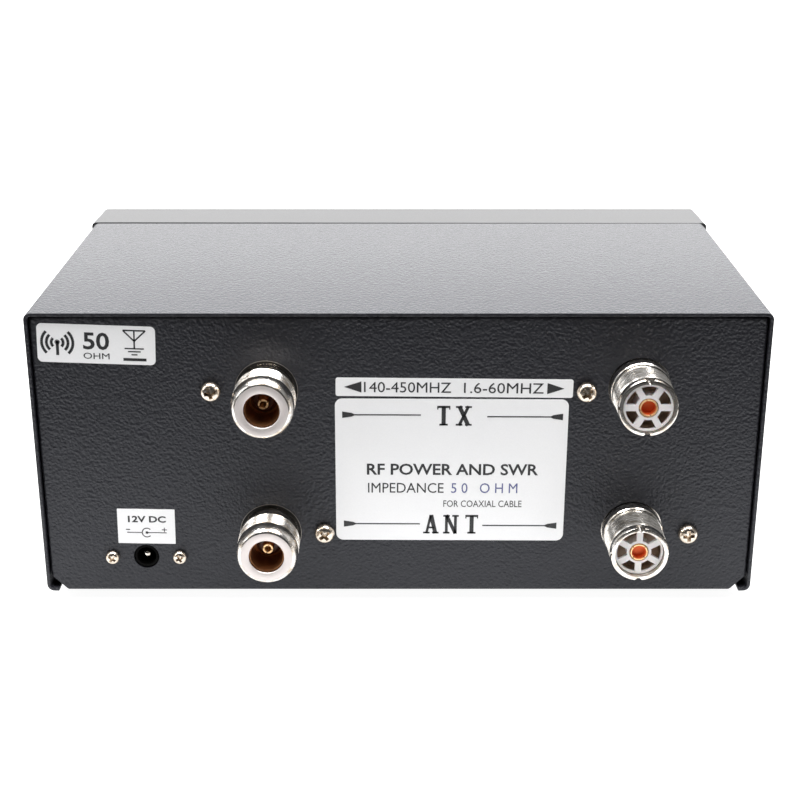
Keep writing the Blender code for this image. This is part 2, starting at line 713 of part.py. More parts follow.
def coupler_toroid():
    """The HF coupler's current transformer: a wound ferrite ring round the line."""
    bpy.ops.mesh.primitive_torus_add(
        major_radius=0.0058,
        minor_radius=0.0024,
        major_segments=MEDIUM,
        minor_segments=8,
        location=(UHF_JACK_X, LINE_Y, JACK_MIDDLE_Z),
    )
    ring = bpy.context.object
    ring.name = "hf_coupler_toroid"
    ring.data.materials.append(FERRITE)
    for collection in list(ring.users_collection):
        collection.objects.unlink(ring)
    PARTS.objects.link(ring)
    smooth(ring)


# ---------------------------------------------------------------- meter


def meter():
    """The panel meter: case, window, dial, lamp board and the fixed half of the movement."""
    low = Vector((METER_X - METER_WIDTH / 2, FASCIA_FACE_Y, METER_Z - METER_HEIGHT / 2))
    high = Vector((METER_X + METER_WIDTH / 2, METER_BACK_Y, METER_Z + METER_HEIGHT / 2))
    case = box("meter_case", low, high, BLACK_PLASTIC)
    wall = 0.0018
    inset = Vector((wall, 0.001 + wall, wall))
    cavity_low = low + inset - Vector((0, 0.003 + wall, 0))
    cavity_high = high - Vector((wall, wall, wall))
    cut(case, cutting_box("meter_cavity", cavity_low, cavity_high))
    window_low = low + Vector((GAP, -0.0028, GAP))
    window_high = Vector((high.x - GAP, low.y - GAP, high.z - GAP))
    window = box("meter_window", window_low, window_high, CLEAR, bevel=0.0006)
    drill(window, "adjuster_hole", [(METER_X, PIVOT_Z, 0.0029)], low.y - 0.005, low.y + 0.002)
    edge = wall + GAP
    dial_low = (low.x + edge, DIAL_Y, low.z + edge)
    dial_high = (high.x - edge, DIAL_Y + 0.0005, high.z - edge)
    dial = box("meter_dial", dial_low, dial_high, DIAL_WHITE)
    drill(dial, "dial_hole", [(METER_X, PIVOT_Z, 0.0040)], DIAL_Y - 0.002, DIAL_Y + 0.003, COARSE)
    lamp_low = (METER_X - 0.030, LAMP_BACK_Y - 0.0012, METER_Z + 0.012)
    lamp_high = (METER_X + 0.030, LAMP_BACK_Y, METER_Z + 0.024)
    lamp = box("meter_lamp", lamp_low, lamp_high, BOARD_GREEN)
    bm = bmesh.new()
    for x in (METER_X - 0.020, METER_X + 0.020):
        z = METER_Z + 0.018
        add_rod(bm, (x, lamp_low[1] - 0.0035, z), (x, lamp_low[1] + 0.0005, z), 0.0020, 12)
    add_to(lamp, object_from(bm, "lamp_leds", None, (0, 0, 0), collection=CUTTERS))
    meter_posts(case)
    magnet_and_core()


def meter_posts(case):
    """Posts on the case's back wall, which carry the magnet, the dial and the lamp board."""
    root_y = METER_BACK_Y - 0.0010
    posts = [(side * 0.0083, 0.0, 0.0014, MAGNET_BACK_Y + GAP) for side in (-1, 1)]
    posts += [(0.0, 0.0, 0.0016, MAGNET_BACK_Y + 0.0048)]
    posts += [(side * 0.0360, 0.0060, 0.0020, DIAL_Y + 0.0005 + GAP) for side in (-1, 1)]
    posts += [(side * 0.0270, 0.0360, 0.0020, LAMP_BACK_Y + GAP) for side in (-1, 1)]
    bm = bmesh.new()
    for across, up, radius, front_y in posts:
        x, z = METER_X + across, PIVOT_Z + up
        add_rod(bm, (x, front_y, z), (x, root_y, z), radius, 10)
    add_to(case, object_from(bm, "meter_posts", None, (0, 0, 0), collection=CUTTERS))


DIAL_Y = -0.0520
LAMP_BACK_Y = DIAL_Y + 0.0072
MAGNET_FRONT_Y = -0.0480
MAGNET_BACK_Y = -0.0370
CORE_RADIUS = 0.0046
COIL_INNER = 0.0050
COIL_OUTER = 0.0062
MAGNET_INNER = 0.0067
MAGNET_OUTER = 0.0100


def magnet_and_core():
    """A ring magnet round a soft-iron core. Two tabs hold the core where no coil side swings."""
    at = (METER_X, 0, PIVOT_Z)
    back, front = -MAGNET_BACK_Y, -MAGNET_FRONT_Y
    ring = [(MAGNET_INNER, front), (MAGNET_OUTER, front), (MAGNET_OUTER, back), (MAGNET_INNER, back)]
    magnet = turned("meter_magnet", ring, at, TOWARDS_FRONT, MAGNET_STEEL, MEDIUM)
    smooth(magnet)
    rod = [(0, front - GAP), (CORE_RADIUS, front - GAP), (CORE_RADIUS, back), (0, back)]
    core = turned("meter_core", rod, at, TOWARDS_FRONT, MAGNET_STEEL, MEDIUM)
    reach = MAGNET_INNER - GAP
    # The coil lies across the pointer, so its free sector is centred on the pointer's middle place.
    tab_low = (METER_X - 0.0008, MAGNET_FRONT_Y + 0.002, PIVOT_Z - reach)
    tab_high = (METER_X + 0.0008, MAGNET_BACK_Y - 0.002, PIVOT_Z + reach)
    add_to(core, box("core_tabs", tab_low, tab_high, None, collection=CUTTERS))
    smooth(core)


def coil():
    """The moving coil: a wound frame round the core, with a pivot at each end."""
    half = 0.0016
    front, back = MAGNET_FRONT_Y - 0.0014, MAGNET_BACK_Y + 0.0014
    bm = bmesh.new()
    add_box(bm, (-COIL_OUTER, front, -half), (COIL_OUTER, back, half))
    turn = Matrix.Rotation(-REST_ANGLE, 4, "Y")
    bmesh.ops.transform(bm, matrix=turn, verts=bm.verts)
    frame = object_from(bm, "meter_coil", COPPER, (METER_X, 0, PIVOT_Z))
    bm = bmesh.new()
    inner_front, inner_back = MAGNET_FRONT_Y - 0.0004, MAGNET_BACK_Y + 0.0004
    add_box(bm, (-COIL_INNER, inner_front, -half - 0.001), (COIL_INNER, inner_back, half + 0.001))
    bmesh.ops.transform(bm, matrix=turn, verts=bm.verts)
    cut(frame, object_from(bm, "coil_hollow", None, (METER_X, 0, PIVOT_Z), collection=CUTTERS))
    bm = bmesh.new()
    add_rod(bm, (0, POINTER_Y + 0.0006, 0), (0, front + 0.0005, 0), 0.0006, 12)
    add_rod(bm, (0, back - 0.0005, 0), (0, back + 0.0030, 0), 0.0006, 12)
    add_to(frame, object_from(bm, "coil_pivots", None, (METER_X, 0, PIVOT_Z), collection=CUTTERS))


def pointer():
    """A flat balanced pointer: hub, tapered arm and a short tail with its weight."""
    length, tail = 0.0420, 0.0075
    root, tip = 0.0009, 0.00025
    hub = 0.0024
    weight = 0.0016
    outline = [(-root, hub * 0.9), (-tip, length), (tip, length), (root, hub * 0.9)]
    outline += arc((0, 0), hub, 66, -70, 6)
    outline += [(root, -tail + weight)] + arc((0, -tail), weight, 60, -240, 10) + [(-root, -tail + weight)]
    outline += arc((0, 0), hub, 250, 114, 6)
    flat = bpy.data.curves.new("meter_pointer", "CURVE")
    flat.dimensions = "2D"
    flat.fill_mode = "BOTH"
    flat.extrude = 0.0003
    line = flat.splines.new("POLY")
    line.points.add(len(outline) - 1)
    for point, (across, up) in zip(line.points, outline):
        point.co = (across, up, 0, 1)
    line.use_cyclic_u = True
    needle = bpy.data.objects.new("meter_pointer", flat)
    lean = Matrix.Rotation(-REST_ANGLE, 3, "Y")
    place(needle, POINTER_RED, (METER_X, POINTER_Y, PIVOT_Z), lean @ TOWARDS_FRONT)


def zero_adjuster():
    """The slotted screw in the window that shifts the pointer's zero."""
    front = 0.0606
    profile = [(0, front), (0.0022, front), (0.0025, front - 0.0003), (0.0025, 0.0564), (0, 0.0564)]
    screw = turned("zero_adjuster", profile, (METER_X, 0, PIVOT_Z), TOWARDS_FRONT, BLACK_PLASTIC, MEDIUM)
    low = (METER_X - 0.0030, -front - 0.001, PIVOT_Z - 0.0004)
    high = (METER_X + 0.0030, -front + 0.0008, PIVOT_Z + 0.0004)
    cut(screw, cutting_box("adjuster_slot", low, high))
    smooth(screw)


# ---------------------------------------------------------------- controls


def rotary_body(name, at, radius, depth):
    """A rotary switch or potentiometer behind the wall, with its bushing through the panel."""
    back = -WALL_INSIDE_Y - GAP
    nose = 0.0602
    bore = 0.0029
    profile = [
        (bore, nose),
        (BUSHING_RADIUS, nose),
        (BUSHING_RADIUS, back),
        (radius, back),
        (radius, back - depth),
        (0, back - depth),
        (0, nose - 0.0075),
        (bore, nose - 0.0075),
    ]
    loop = profile[6:] + profile[:6]
    body = turned(name, loop, (at[0], 0, at[1]), TOWARDS_FRONT, BLACK_PLASTIC, MEDIUM)
    bm = bmesh.new()
    terminals = 6
    for index in range(terminals):
        angle = math.pi * (index + 0.5) / terminals
        x, z = at[0] + radius * 0.8 * math.cos(angle), at[1] - radius * 0.8 * math.sin(angle)
        y = -(back - depth)
        add_box(bm, (x - 0.0005, y - 0.0005, z - 0.0009), (x + 0.0005, y + 0.0035, z + 0.0009))
    add_to(body, object_from(bm, f"{name}_terminals", None, (0, 0, 0), collection=CUTTERS))
    smooth(body)


def knob(name, at, radius, height, turn_deg):
    """A knob with a skirt and an indicator line, and the spindle that it turns."""
    back = -FASCIA_FACE_Y + 0.0008
    front = back + height
    spindle = 0.0026
    socket = BUSHING_RADIUS + GAP
    profile = [
        (0, front),
        (radius * 0.72, front),
        (radius * 0.78, front - 0.0006),
        (radius * 0.84, back + 0.0035),
        (radius, back + 0.0028),
        (radius, back),
        (socket, back),
        (socket, 0.0605),
        (spindle, 0.0605),
        (spindle, 0.0532),
        (0, 0.0532),
    ]
    made = turned(name, profile, (at[0], 0, at[1]), TOWARDS_FRONT, KNOB_PLASTIC, FINE)
    bm = bmesh.new()
    y_face = -front
    add_box(bm, (-0.0005, y_face - 0.001, radius * 0.15), (0.0005, y_face + 0.0005, radius * 0.9))
    bmesh.ops.transform(bm, matrix=Matrix.Rotation(math.radians(turn_deg), 4, "Y"), verts=bm.verts)
    cut(made, object_from(bm, f"{name}_line", None, (at[0], 0, at[1]), collection=CUTTERS))
    smooth(made)


def toggle():
    """A three-position toggle switch: body and bushing, and the lever with its ball pivot."""
    x, z = TOGGLE_AT
    back = -WALL_INSIDE_Y - GAP
    nose = 0.0620
    bore = 0.0031
    bushing = [
        (bore, nose),
        (TOGGLE_BUSHING_RADIUS, nose),
        (TOGGLE_BUSHING_RADIUS, back - 0.0005),
        (0, back - 0.0005),
        (0, 0.0555),
        (bore, 0.0555),
    ]
    loop = bushing[4:] + bushing[:4]
    block_low = (x - 0.0042, WALL_INSIDE_Y + GAP, z - 0.0066)
    body = box("toggle_switch", block_low, (x + 0.0042, -0.0435, z + 0.0066), BLACK_PLASTIC)
    add_to(body, turned("toggle_bushing", loop, (x, 0, z), TOWARDS_FRONT, None, MEDIUM, CUTTERS))
    bm = bmesh.new()
    for row in (-1, 0, 1):
        low = (x - 0.0012, -0.0440, z + row * 0.0045 - 0.0004)
        add_box(bm, low, (x + 0.0012, -0.0395, z + row * 0.0045 + 0.0004))
    add_to(body, object_from(bm, "toggle_terminals", None, (0, 0, 0), collection=CUTTERS))
    smooth(body)
    ball, neck, head, reach = 0.0018, 0.0012, 0.0019, 0.0130
    lever = arc((0, 0), ball, 90, 52, 3)
    profile = [(0, reach + head)]
    profile += [(head * math.sin(math.radians(a)), reach + head * math.cos(math.radians(a))) for a in (30, 60, 90, 120)]
    profile += [(neck, ball * 1.6)]
    profile += [(ball * math.sin(math.radians(a)), ball * math.cos(math.radians(a))) for a in (45, 70, 90, 120, 150)]
    profile += [(0, -ball)]
    del lever
    smooth(turned("toggle_lever", profile, (x, FASCIA_FACE_Y, z), TOWARDS_FRONT, CHROME, COARSE))


def push_switch(name, button_name, at):
    """A latching push switch behind the wall and the round cap on its plunger."""
    x, z = at
    front_y = WALL_INSIDE_Y + 0.0018
    body = box(name, (x - 0.0048, front_y, z - 0.0048), (x + 0.0048, front_y + 0.0120, z + 0.0048), BLACK_PLASTIC)
    drill(body, f"{name}_bore", [(x, z, 0.0019)], front_y - 0.001, front_y + 0.0058, COARSE)
    bm = bmesh.new()
    for side in (-1, 1):
        for row in (-1, 0, 1):
            px, pz = x + side * 0.0028, z + row * 0.0030
            add_box(bm, (px - 0.0004, front_y + 0.0115, pz - 0.0004), (px + 0.0004, front_y + 0.0150, pz + 0.0004))
    add_to(body, object_from(bm, f"{name}_pins", None, (0, 0, 0), collection=CUTTERS))
    cap_front, cap_back, plunger_end = 0.0640, 0.0558, 0.0505
    profile = [
        (0, cap_front),
        (BUTTON_RADIUS - 0.0006, cap_front),
        (BUTTON_RADIUS, cap_front - 0.0006),
        (BUTTON_RADIUS, cap_back),
        (0.0015, cap_back),
        (0.0015, plunger_end),
        (0, plunger_end),
    ]
    smooth(turned(button_name, profile, (x, 0, z), TOWARDS_FRONT, KNOB_PLASTIC, MEDIUM))


# ---------------------------------------------------------------- electronics


def main_board():
    """The detector amplifier board on the chassis floor."""
    z = FLOOR_Z + 0.0060
    low = (0.0080, -0.0360, z)
    high = (0.0900, 0.0160, z + 0.0016)
    board = box("main_board", low, high, BOARD_GREEN)
    bm = bmesh.new()
    top = z + 0.0011
    for x in (0.020, 0.032, 0.044):
        add_box(bm, (x - 0.0050, -0.0120, top), (x + 0.0050, -0.0055, top + 0.0038))
    for x, y in ((0.062, 0.006), (0.074, 0.006), (0.080, -0.024)):
        add_rod(bm, (x, y, top), (x, y, top + 0.0110), 0.0040, 12)
    for x in (0.018, 0.028, 0.038, 0.048):
        add_box(bm, (x - 0.0034, 0.0040, top), (x + 0.0034, 0.0108, top + 0.0050))
    for x, y in ((0.0120, -0.0320), (0.0860, -0.0320), (0.0120, 0.0120), (0.0860, 0.0120)):
        add_rod(bm, (x, y, FLOOR_Z + SHEET + GAP), (x, y, z + 0.0005), 0.0025, 12)
    add_to(board, object_from(bm, "main_board_parts", None, (0, 0, 0), collection=CUTTERS))


def wiring_loom():
    """The leads from both couplers and the power socket, laced into one loom."""
    high = FLOOR_Z + 0.0100
    trunk = [
        (-0.0620, 0.0155, high + 0.0080),
        (-0.0560, 0.0130, high + 0.0020),
        (-0.0420, 0.0105, high),
        (-0.0240, 0.0095, high),
        (-0.0080, 0.0100, high),
        (0.0020, 0.0080, high),
        (0.0070, 0.0040, high),
        (0.0110, 0.0000, high + 0.0005),
    ]
    branch = [
        (0.0020, 0.0080, high),
        (0.0060, 0.0150, high + 0.0020),
        (0.0120, 0.0205, high + 0.0060),
        (0.0220, 0.0215, high + 0.0120),
    ]
    pieces = [tube(name, route, 0.0013) for name, route in (("wiring_loom", trunk), ("loom_branch", branch))]
    loom, side = pieces
    PARTS.objects.link(loom)
    loom.data.materials.append(WIRE_BLACK)
    CUTTERS.objects.link(side)
    side.hide_render = True
    side.display_type = "WIRE"
    add_to(loom, side)
    smooth(loom, 60)


def tube(name, route, radius):
    """A closed mesh tube along a smooth route, as an unlinked object."""
    curve = bpy.data.curves.new(name, "CURVE")
    curve.dimensions = "3D"
    curve.bevel_depth = radius
    curve.bevel_resolution = 1
    curve.use_fill_caps = True
    points = smooth_route(route, 2)
    line = curve.splines.new("POLY")
    line.points.add(len(points) - 1)
    for point, place_at in zip(line.points, points):
        point.co = (*place_at, 1)
    holder = bpy.data.objects.new(f"{name}_curve", curve)
    bpy.context.scene.collection.objects.link(holder)
    bpy.context.view_layer.update()
    graph = bpy.context.evaluated_depsgraph_get()
    mesh = bpy.data.meshes.new_from_object(holder.evaluated_get(graph))
    mesh.name = name
    bpy.data.objects.remove(holder)
    bm = bmesh.new()
    bm.from_mesh(mesh)
    bmesh.ops.remove_doubles(bm, verts=bm.verts, dist=0.00001)
    bm.to_mesh(mesh)
    bm.free()
    return bpy.data.objects.new(name, mesh)


def smooth_route(route, steps):
    """Points of a Catmull-Rom curve through a route's own points."""
    ends = [Vector(route[0]) * 2 - Vector(route[1]), *map(Vector, route)]
    ends.append(Vector(route[-1]) * 2 - Vector(route[-2]))
    made = []
    for a, b, c, d in zip(ends, ends[1:], ends[2:], ends[3:]):
        for index in range(steps):
            t = index / steps
            made.append(
                0.5 * (2 * b + (c - a) * t + (2 * a - 5 * b + 4 * c - d) * t**2 + (3 * b - a - 3 * c + d) * t**3)
            )
    return made + [Vector(route[-1])]


# ---------------------------------------------------------------- assembly

top_cover()
chassis()
front_bezel()
front_panel()
feet()

n_jack("n_jack_tx", UPPER_JACK_Z - N_DROP)
n_jack("n_jack_ant", LOWER_JACK_Z - N_DROP)
uhf_jack("uhf_jack_tx", UPPER_JACK_Z, 0, 0)
uhf_jack("uhf_jack_ant", LOWER_JACK_Z, 30, 0.0012)
rear_screws()
dc_jack()

coupler("hf", UHF_JACK_X, 0, HF_WIDTH, HF_DEPTH, 0.0055)
coupler("uhf", N_JACK_X, N_DROP, UHF_WIDTH, UHF_DEPTH, 0.0050)
coupler_toroid()

meter()
coil()
pointer()
zero_adjuster()

rotary_body("function_switch", FUNCTION_AT, 0.0115, 0.0120)
rotary_body("range_switch", RANGE_AT, 0.0115, 0.0120)
rotary_body("calibration_potentiometer", CALIBRATION_AT, 0.0080, 0.0090)
knob("function_knob", FUNCTION_AT, 0.0105, 0.01415, -30)
knob("range_knob", RANGE_AT, 0.0105, 0.01415, -30)
knob("calibration_knob", CALIBRATION_AT, 0.0085, 0.01415, 0)
toggle()
push_switch("sensor_switch", "sensor_button", SENSOR_AT)
push_switch("peak_switch", "peak_button", PEAK_AT)

main_board()
wiring_loom()
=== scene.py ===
import math

import bmesh
import bpy
from mathutils import Matrix, Vector


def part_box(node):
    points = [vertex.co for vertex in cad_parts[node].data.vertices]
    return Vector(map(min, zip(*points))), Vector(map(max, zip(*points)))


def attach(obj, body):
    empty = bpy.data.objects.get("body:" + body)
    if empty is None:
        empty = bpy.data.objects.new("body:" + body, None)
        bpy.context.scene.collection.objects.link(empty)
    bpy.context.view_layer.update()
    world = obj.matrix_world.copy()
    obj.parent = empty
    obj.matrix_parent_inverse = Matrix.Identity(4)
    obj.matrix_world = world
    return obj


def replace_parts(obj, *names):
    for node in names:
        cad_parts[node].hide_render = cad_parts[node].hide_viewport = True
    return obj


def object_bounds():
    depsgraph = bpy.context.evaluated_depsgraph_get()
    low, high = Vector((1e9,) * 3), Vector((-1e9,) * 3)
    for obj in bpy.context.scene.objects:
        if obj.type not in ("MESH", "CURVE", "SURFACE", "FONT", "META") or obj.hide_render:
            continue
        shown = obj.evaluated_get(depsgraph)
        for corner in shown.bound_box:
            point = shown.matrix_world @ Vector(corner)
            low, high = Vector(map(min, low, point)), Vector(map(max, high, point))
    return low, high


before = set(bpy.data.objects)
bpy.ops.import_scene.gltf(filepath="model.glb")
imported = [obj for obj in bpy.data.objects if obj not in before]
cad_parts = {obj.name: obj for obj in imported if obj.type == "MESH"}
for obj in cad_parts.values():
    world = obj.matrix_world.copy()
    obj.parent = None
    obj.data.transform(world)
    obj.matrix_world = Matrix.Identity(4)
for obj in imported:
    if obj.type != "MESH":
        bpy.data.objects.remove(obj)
cad_low, cad_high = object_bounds()
MM = 0.001

# ---------------------------------------------------------------- studio
# A pale light table in a white tent. A large bank beyond the meter is mirrored in its roof,
# one overhead lights the jacks, and a pair over the camera picks out the paint's wrinkles.

CAMERA_BACK = 381.99
CAMERA_UP = 201.14
CAMERA_LEFT = 0.36
CAMERA_DOWN_DEG = 20.527

scene = bpy.context.scene
scene.view_settings.view_transform = "Standard"

camera = bpy.data.objects.new("camera", bpy.data.cameras.new("camera"))
scene.collection.objects.link(camera)
camera.data.lens = 67.66
camera.data.sensor_width = 36
camera.data.clip_start = 0.01
rear_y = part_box("top_cover")[1].y
floor_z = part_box("top_cover")[0].z
camera.location = (-CAMERA_LEFT * MM, rear_y + CAMERA_BACK * MM, floor_z + CAMERA_UP * MM)
camera.rotation_euler = (math.radians(90 - CAMERA_DOWN_DEG), 0, math.radians(180))
scene.camera = camera


def softbox(name, place, aim, size, power):
    lamp = bpy.data.lights.new(name, "AREA")
    lamp.shape = "RECTANGLE"
    lamp.size, lamp.size_y = size
    lamp.energy = power
    holder = bpy.data.objects.new(name, lamp)
    scene.collection.objects.link(holder)
    holder.location = place
    holder.rotation_euler = (Vector(aim) - Vector(place)).to_track_quat("-Z", "Y").to_euler()


softbox("bank_beyond", (0, -1.50, 0.95), (0, 0, 0.05), (3.0, 1.7), 50)
softbox("bank_above", (0, -0.15, 1.30), (0, -0.05, 0), (1.6, 1.0), 62)
for side, word in ((1, "left"), (-1, "right")):
    softbox(f"bank_over_camera_{word}", (0.36 * side, 0.30, 0.95), (0, 0.03, 0.06), (0.42, 0.45), 4.5)
softbox("bank_left", (0.95, 0.45, 0.55), (0, 0.05, 0.04), (0.5, 0.7), 2.5)

world = bpy.data.worlds.new("tent")
scene.world = world
world.use_nodes = True
world.node_tree.nodes["Background"].inputs["Color"].default_value = (1, 1, 1, 1)
world.node_tree.nodes["Background"].inputs["Strength"].default_value = 0.28


def finish(name, colour, roughness, metallic=0.0, **sockets):
    """A Principled material, with any other socket set by name."""
    material = bpy.data.materials.new(name)
    material.use_nodes = True
    shader = material.node_tree.nodes["Principled BSDF"]
    shader.inputs["Base Color"].default_value = (*colour, 1)
    shader.inputs["Roughness"].default_value = roughness
    shader.inputs["Metallic"].default_value = metallic
    for socket, value in sockets.items():
        shader.inputs[socket.replace("_", " ")].default_value = value
    return material


def node(material, kind, links=None, **settings):
    made = material.node_tree.nodes.new("ShaderNode" + kind)
    for key, value in settings.items():
        if hasattr(made, key):
            setattr(made, key, value)
        else:
            made.inputs[key.replace("_", " ")].default_value = value
    for socket, source in (links or {}).items():
        material.node_tree.links.new(source, made.inputs[socket])
    return made


def shade(material, socket, source):
    shader = material.node_tree.nodes["Principled BSDF"]
    material.node_tree.links.new(source, shader.inputs[socket])


def place_of(material, stretch=(1, 1, 1)):
    """Object coordinates in millimetres, stretched."""
    where = node(material, "TexCoord").outputs["Object"]
    scaled = node(material, "VectorMath", {0: where}, operation="MULTIPLY")
    scaled.inputs[1].default_value = [s / MM for s in stretch]
    return scaled.outputs[0]


def noise(material, where, size_mm, detail=2.0, rough=0.5):
    look = {"Scale": 1 / size_mm, "Detail": detail, "Roughness": rough}
    return node(material, "TexNoise", {"Vector": where}, **look).outputs["Fac"]


def ranged(material, source, low, high, from_low=0.0, from_high=1.0):
    made = node(material, "MapRange", {"Value": source}, To_Min=low, To_Max=high)
    made.inputs["From Min"].default_value = from_low
    made.inputs["From Max"].default_value = from_high
    return made.outputs["Result"]


def mixed(material, factor, colour_a, colour_b):
    made = node(material, "Mix", {0: factor}, data_type="RGBA")
    made.inputs[6].default_value = (*colour_a, 1)
    made.inputs[7].default_value = (*colour_b, 1)
    return made.outputs[2]


def bumped(material, height, depth_mm, after=None):
    made = node(material, "Bump", {"Height": height}, Distance=depth_mm * MM, Strength=1.0)
    if after is not None:
        material.node_tree.links.new(after, made.inputs["Normal"])
    shade(material, "Normal", made.outputs["Normal"])
    return made.outputs["Normal"]


def grained(material, size_mm, depth_mm, detail=2.0):
    """Gives the material a fine bump of one size."""
    return bumped(material, noise(material, place_of(material), size_mm, detail), depth_mm)


def stage_piece(bm, name, material):
    mesh = bpy.data.meshes.new(name)
    bm.to_mesh(mesh)
    bm.free()
    mesh.materials.append(material)
    surface = bpy.data.objects.new(name, mesh)
    scene.collection.objects.link(surface)
    return surface


def staged(name, material, half, centre, tilt_deg=0):
    """A flat stage surface, facing up unless it is tilted about X."""
    bm = bmesh.new()
    bmesh.ops.create_grid(bm, x_segments=1, y_segments=1, size=1)
    bmesh.ops.scale(bm, verts=bm.verts, vec=(*half, 1))
    tilt = Matrix.Rotation(math.radians(tilt_deg), 3, "X")
    bmesh.ops.rotate(bm, verts=bm.verts, cent=(0, 0, 0), matrix=tilt)
    bmesh.ops.translate(bm, verts=bm.verts, vec=centre)
    return stage_piece(bm, name, material)


paper = finish("lit_paper", (0.26, 0.26, 0.262), 0.85, Emission_Strength=0.94)
grained(paper, 0.6, 0.02)
staged("table_top", paper, (6, 6), (0, 0, cad_low[2]))

# A black card lies on the table under the camera and another stands behind it, both out of
# every view. They darken what the upper part of the rear panel mirrors.
CARD_START, CARD_HALF = 0.158, 0.8
black_felt = finish("black_felt", (0.01, 0.01, 0.01), 0.95)
cards = (
    staged("card_on_table", black_felt, (1.5, CARD_HALF), (0, CARD_START + CARD_HALF, cad_low[2] + 2 * MM)),
    staged("card_behind", black_felt, (1.6, 0.7), (0, 1.35, 0.70), 78),
)
for card in cards:
    card.visible_camera = False
    card.visible_shadow = False

# A white wall round the table closes the view from low angles. It lights nothing.
WALL_RADIUS, WALL_HEIGHT = 5.8, 8
bm = bmesh.new()
bmesh.ops.create_cone(
    bm, cap_ends=False, segments=96, radius1=WALL_RADIUS, radius2=WALL_RADIUS, depth=WALL_HEIGHT,
)
white_cloth = finish(
    "white_cloth", (0.8, 0.8, 0.8), 0.9, Emission_Color=(1, 1, 1, 1), Emission_Strength=0.9,
)
grained(white_cloth, 40, 1.0)
tent_wall = stage_piece(bm, "tent_wall", white_cloth)
for ray in ("diffuse", "glossy", "transmission", "shadow"):
    setattr(tent_wall, "visible_" + ray, False)


# ---------------------------------------------------------------- painted steel case
# The case is 1 mm steel: a cover bent over the roof and sides, and a chassis folded from the
# floor and end walls. Both have the same black baked paint, sprayed to a fine wrinkle.

wrinkle_paint = finish(
    "black_wrinkle_paint", (0.0075, 0.0075, 0.0105), 0.38, Specular_Tint=(0.93, 0.95, 1.0, 1),
)
where = place_of(wrinkle_paint, (1, 0.8, 1))
wide_wrinkle = noise(wrinkle_paint, where, 0.85, detail=3.0, rough=0.6)
fine_wrinkle = noise(wrinkle_paint, where, 0.30)
cells = node(wrinkle_paint, "TexVoronoi", {"Vector": where}, Scale=1 / 0.75, feature="SMOOTH_F1")
heights = node(wrinkle_paint, "Math", {0: wide_wrinkle, 1: cells.outputs["Distance"]}, operation="ADD")
shade(wrinkle_paint, "Roughness", ranged(wrinkle_paint, fine_wrinkle, 0.30, 0.46, 0.3, 0.7))
paint_shades = mixed(wrinkle_paint, wide_wrinkle, (0.004, 0.004, 0.006), (0.012, 0.012, 0.016))
shade(wrinkle_paint, "Base Color", paint_shades)
first = bumped(wrinkle_paint, heights.outputs[0], 0.24)
bumped(wrinkle_paint, fine_wrinkle, 0.09, after=first)


def shown(bm, name, material, body, sharp_deg=32):
    """Makes the finished piece from bm: smooth but for its sharp edges, on its body."""
    mesh = bpy.data.meshes.new(name)
    bm.to_mesh(mesh)
    bm.free()
    mesh.shade_smooth()
    mesh.set_sharp_from_angle(angle=math.radians(sharp_deg))
    mesh.materials.append(material)
    piece = bpy.data.objects.new(name, mesh)
    scene.collection.objects.link(piece)
    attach(piece, body)
    return piece


def eased(bm, width):
    """Rounds every edge that turns more than 40 degrees."""
    corners = [e for e in bm.edges if e.is_manifold and e.calc_face_angle(0) > math.radians(40)]
    bmesh.ops.bevel(
        bm, geom=corners, offset=width, segments=2, profile=0.5, affect="EDGES", material=-1,
        clamp_overlap=True,
    )


def refined(name, material, body, ease=0.0):
    """The frame node's own shape, its loose triangles joined and its edges eased."""
    bm = bmesh.new()
    bm.from_mesh(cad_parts[name].data)
    bmesh.ops.remove_doubles(bm, verts=bm.verts, dist=0.00002)
    bmesh.ops.dissolve_limit(bm, angle_limit=0.004, verts=bm.verts, edges=bm.edges)
    if ease:
        eased(bm, ease)
    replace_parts(shown(bm, name + "_finished", material, body), name)


refined("top_cover", wrinkle_paint, "case", ease=0.25 * MM)
refined("chassis", wrinkle_paint, "case")


# ---------------------------------------------------------------- cover screws
# Four black screws, two on each side, pull the cover onto the chassis flanges. Their low
# heads are zinc plated and blackened, with a cross recess.

COVER_SCREW_UP = 36
COVER_SCREW_RADIUS = 2.9

black_zinc = finish("black_zinc", (0.018, 0.018, 0.019), 0.32, 0.85)
grained(black_zinc, 0.25, 0.01)


def turned(profile, steps=64, closed=False):
    """A bmesh turned about the Y axis from (radius, y) points in millimetres."""
    bm = bmesh.new()
    points = [bm.verts.new((radius * MM, y * MM, 0)) for radius, y in profile]
    edges = [bm.edges.new(pair) for pair in zip(points, points[1:])]
    if closed:
        edges.append(bm.edges.new((points[-1], points[0])))
    bmesh.ops.spin(
        bm, geom=points + edges, cent=(0, 0, 0), axis=(0, 1, 0), angle=math.tau, steps=steps,
        use_merge=True, use_duplicate=False,
    )
    bmesh.ops.remove_doubles(bm, verts=bm.verts, dist=0.000002)
    bmesh.ops.recalc_face_normals(bm, faces=bm.faces)
    return bm


def moved(bm, place, turn=Matrix()):
    bmesh.ops.transform(bm, matrix=Matrix.Translation(place) @ turn, verts=bm.verts)
    return bm


def spun(bm, degrees, axis="Y", verts=None):
    turn = Matrix.Rotation(math.radians(degrees), 3, axis)
    bmesh.ops.rotate(bm, verts=verts or bm.verts, cent=(0, 0, 0), matrix=turn)
    return bm


def block(bm, low, high):
    """Adds a box between two corners in millimetres and returns its vertices."""
    low, high = Vector(low) * MM, Vector(high) * MM
    made = bmesh.ops.create_cube(bm, size=1)["verts"]
    bmesh.ops.scale(bm, vec=high - low, verts=made)
    bmesh.ops.translate(bm, vec=(low + high) / 2, verts=made)
    return made


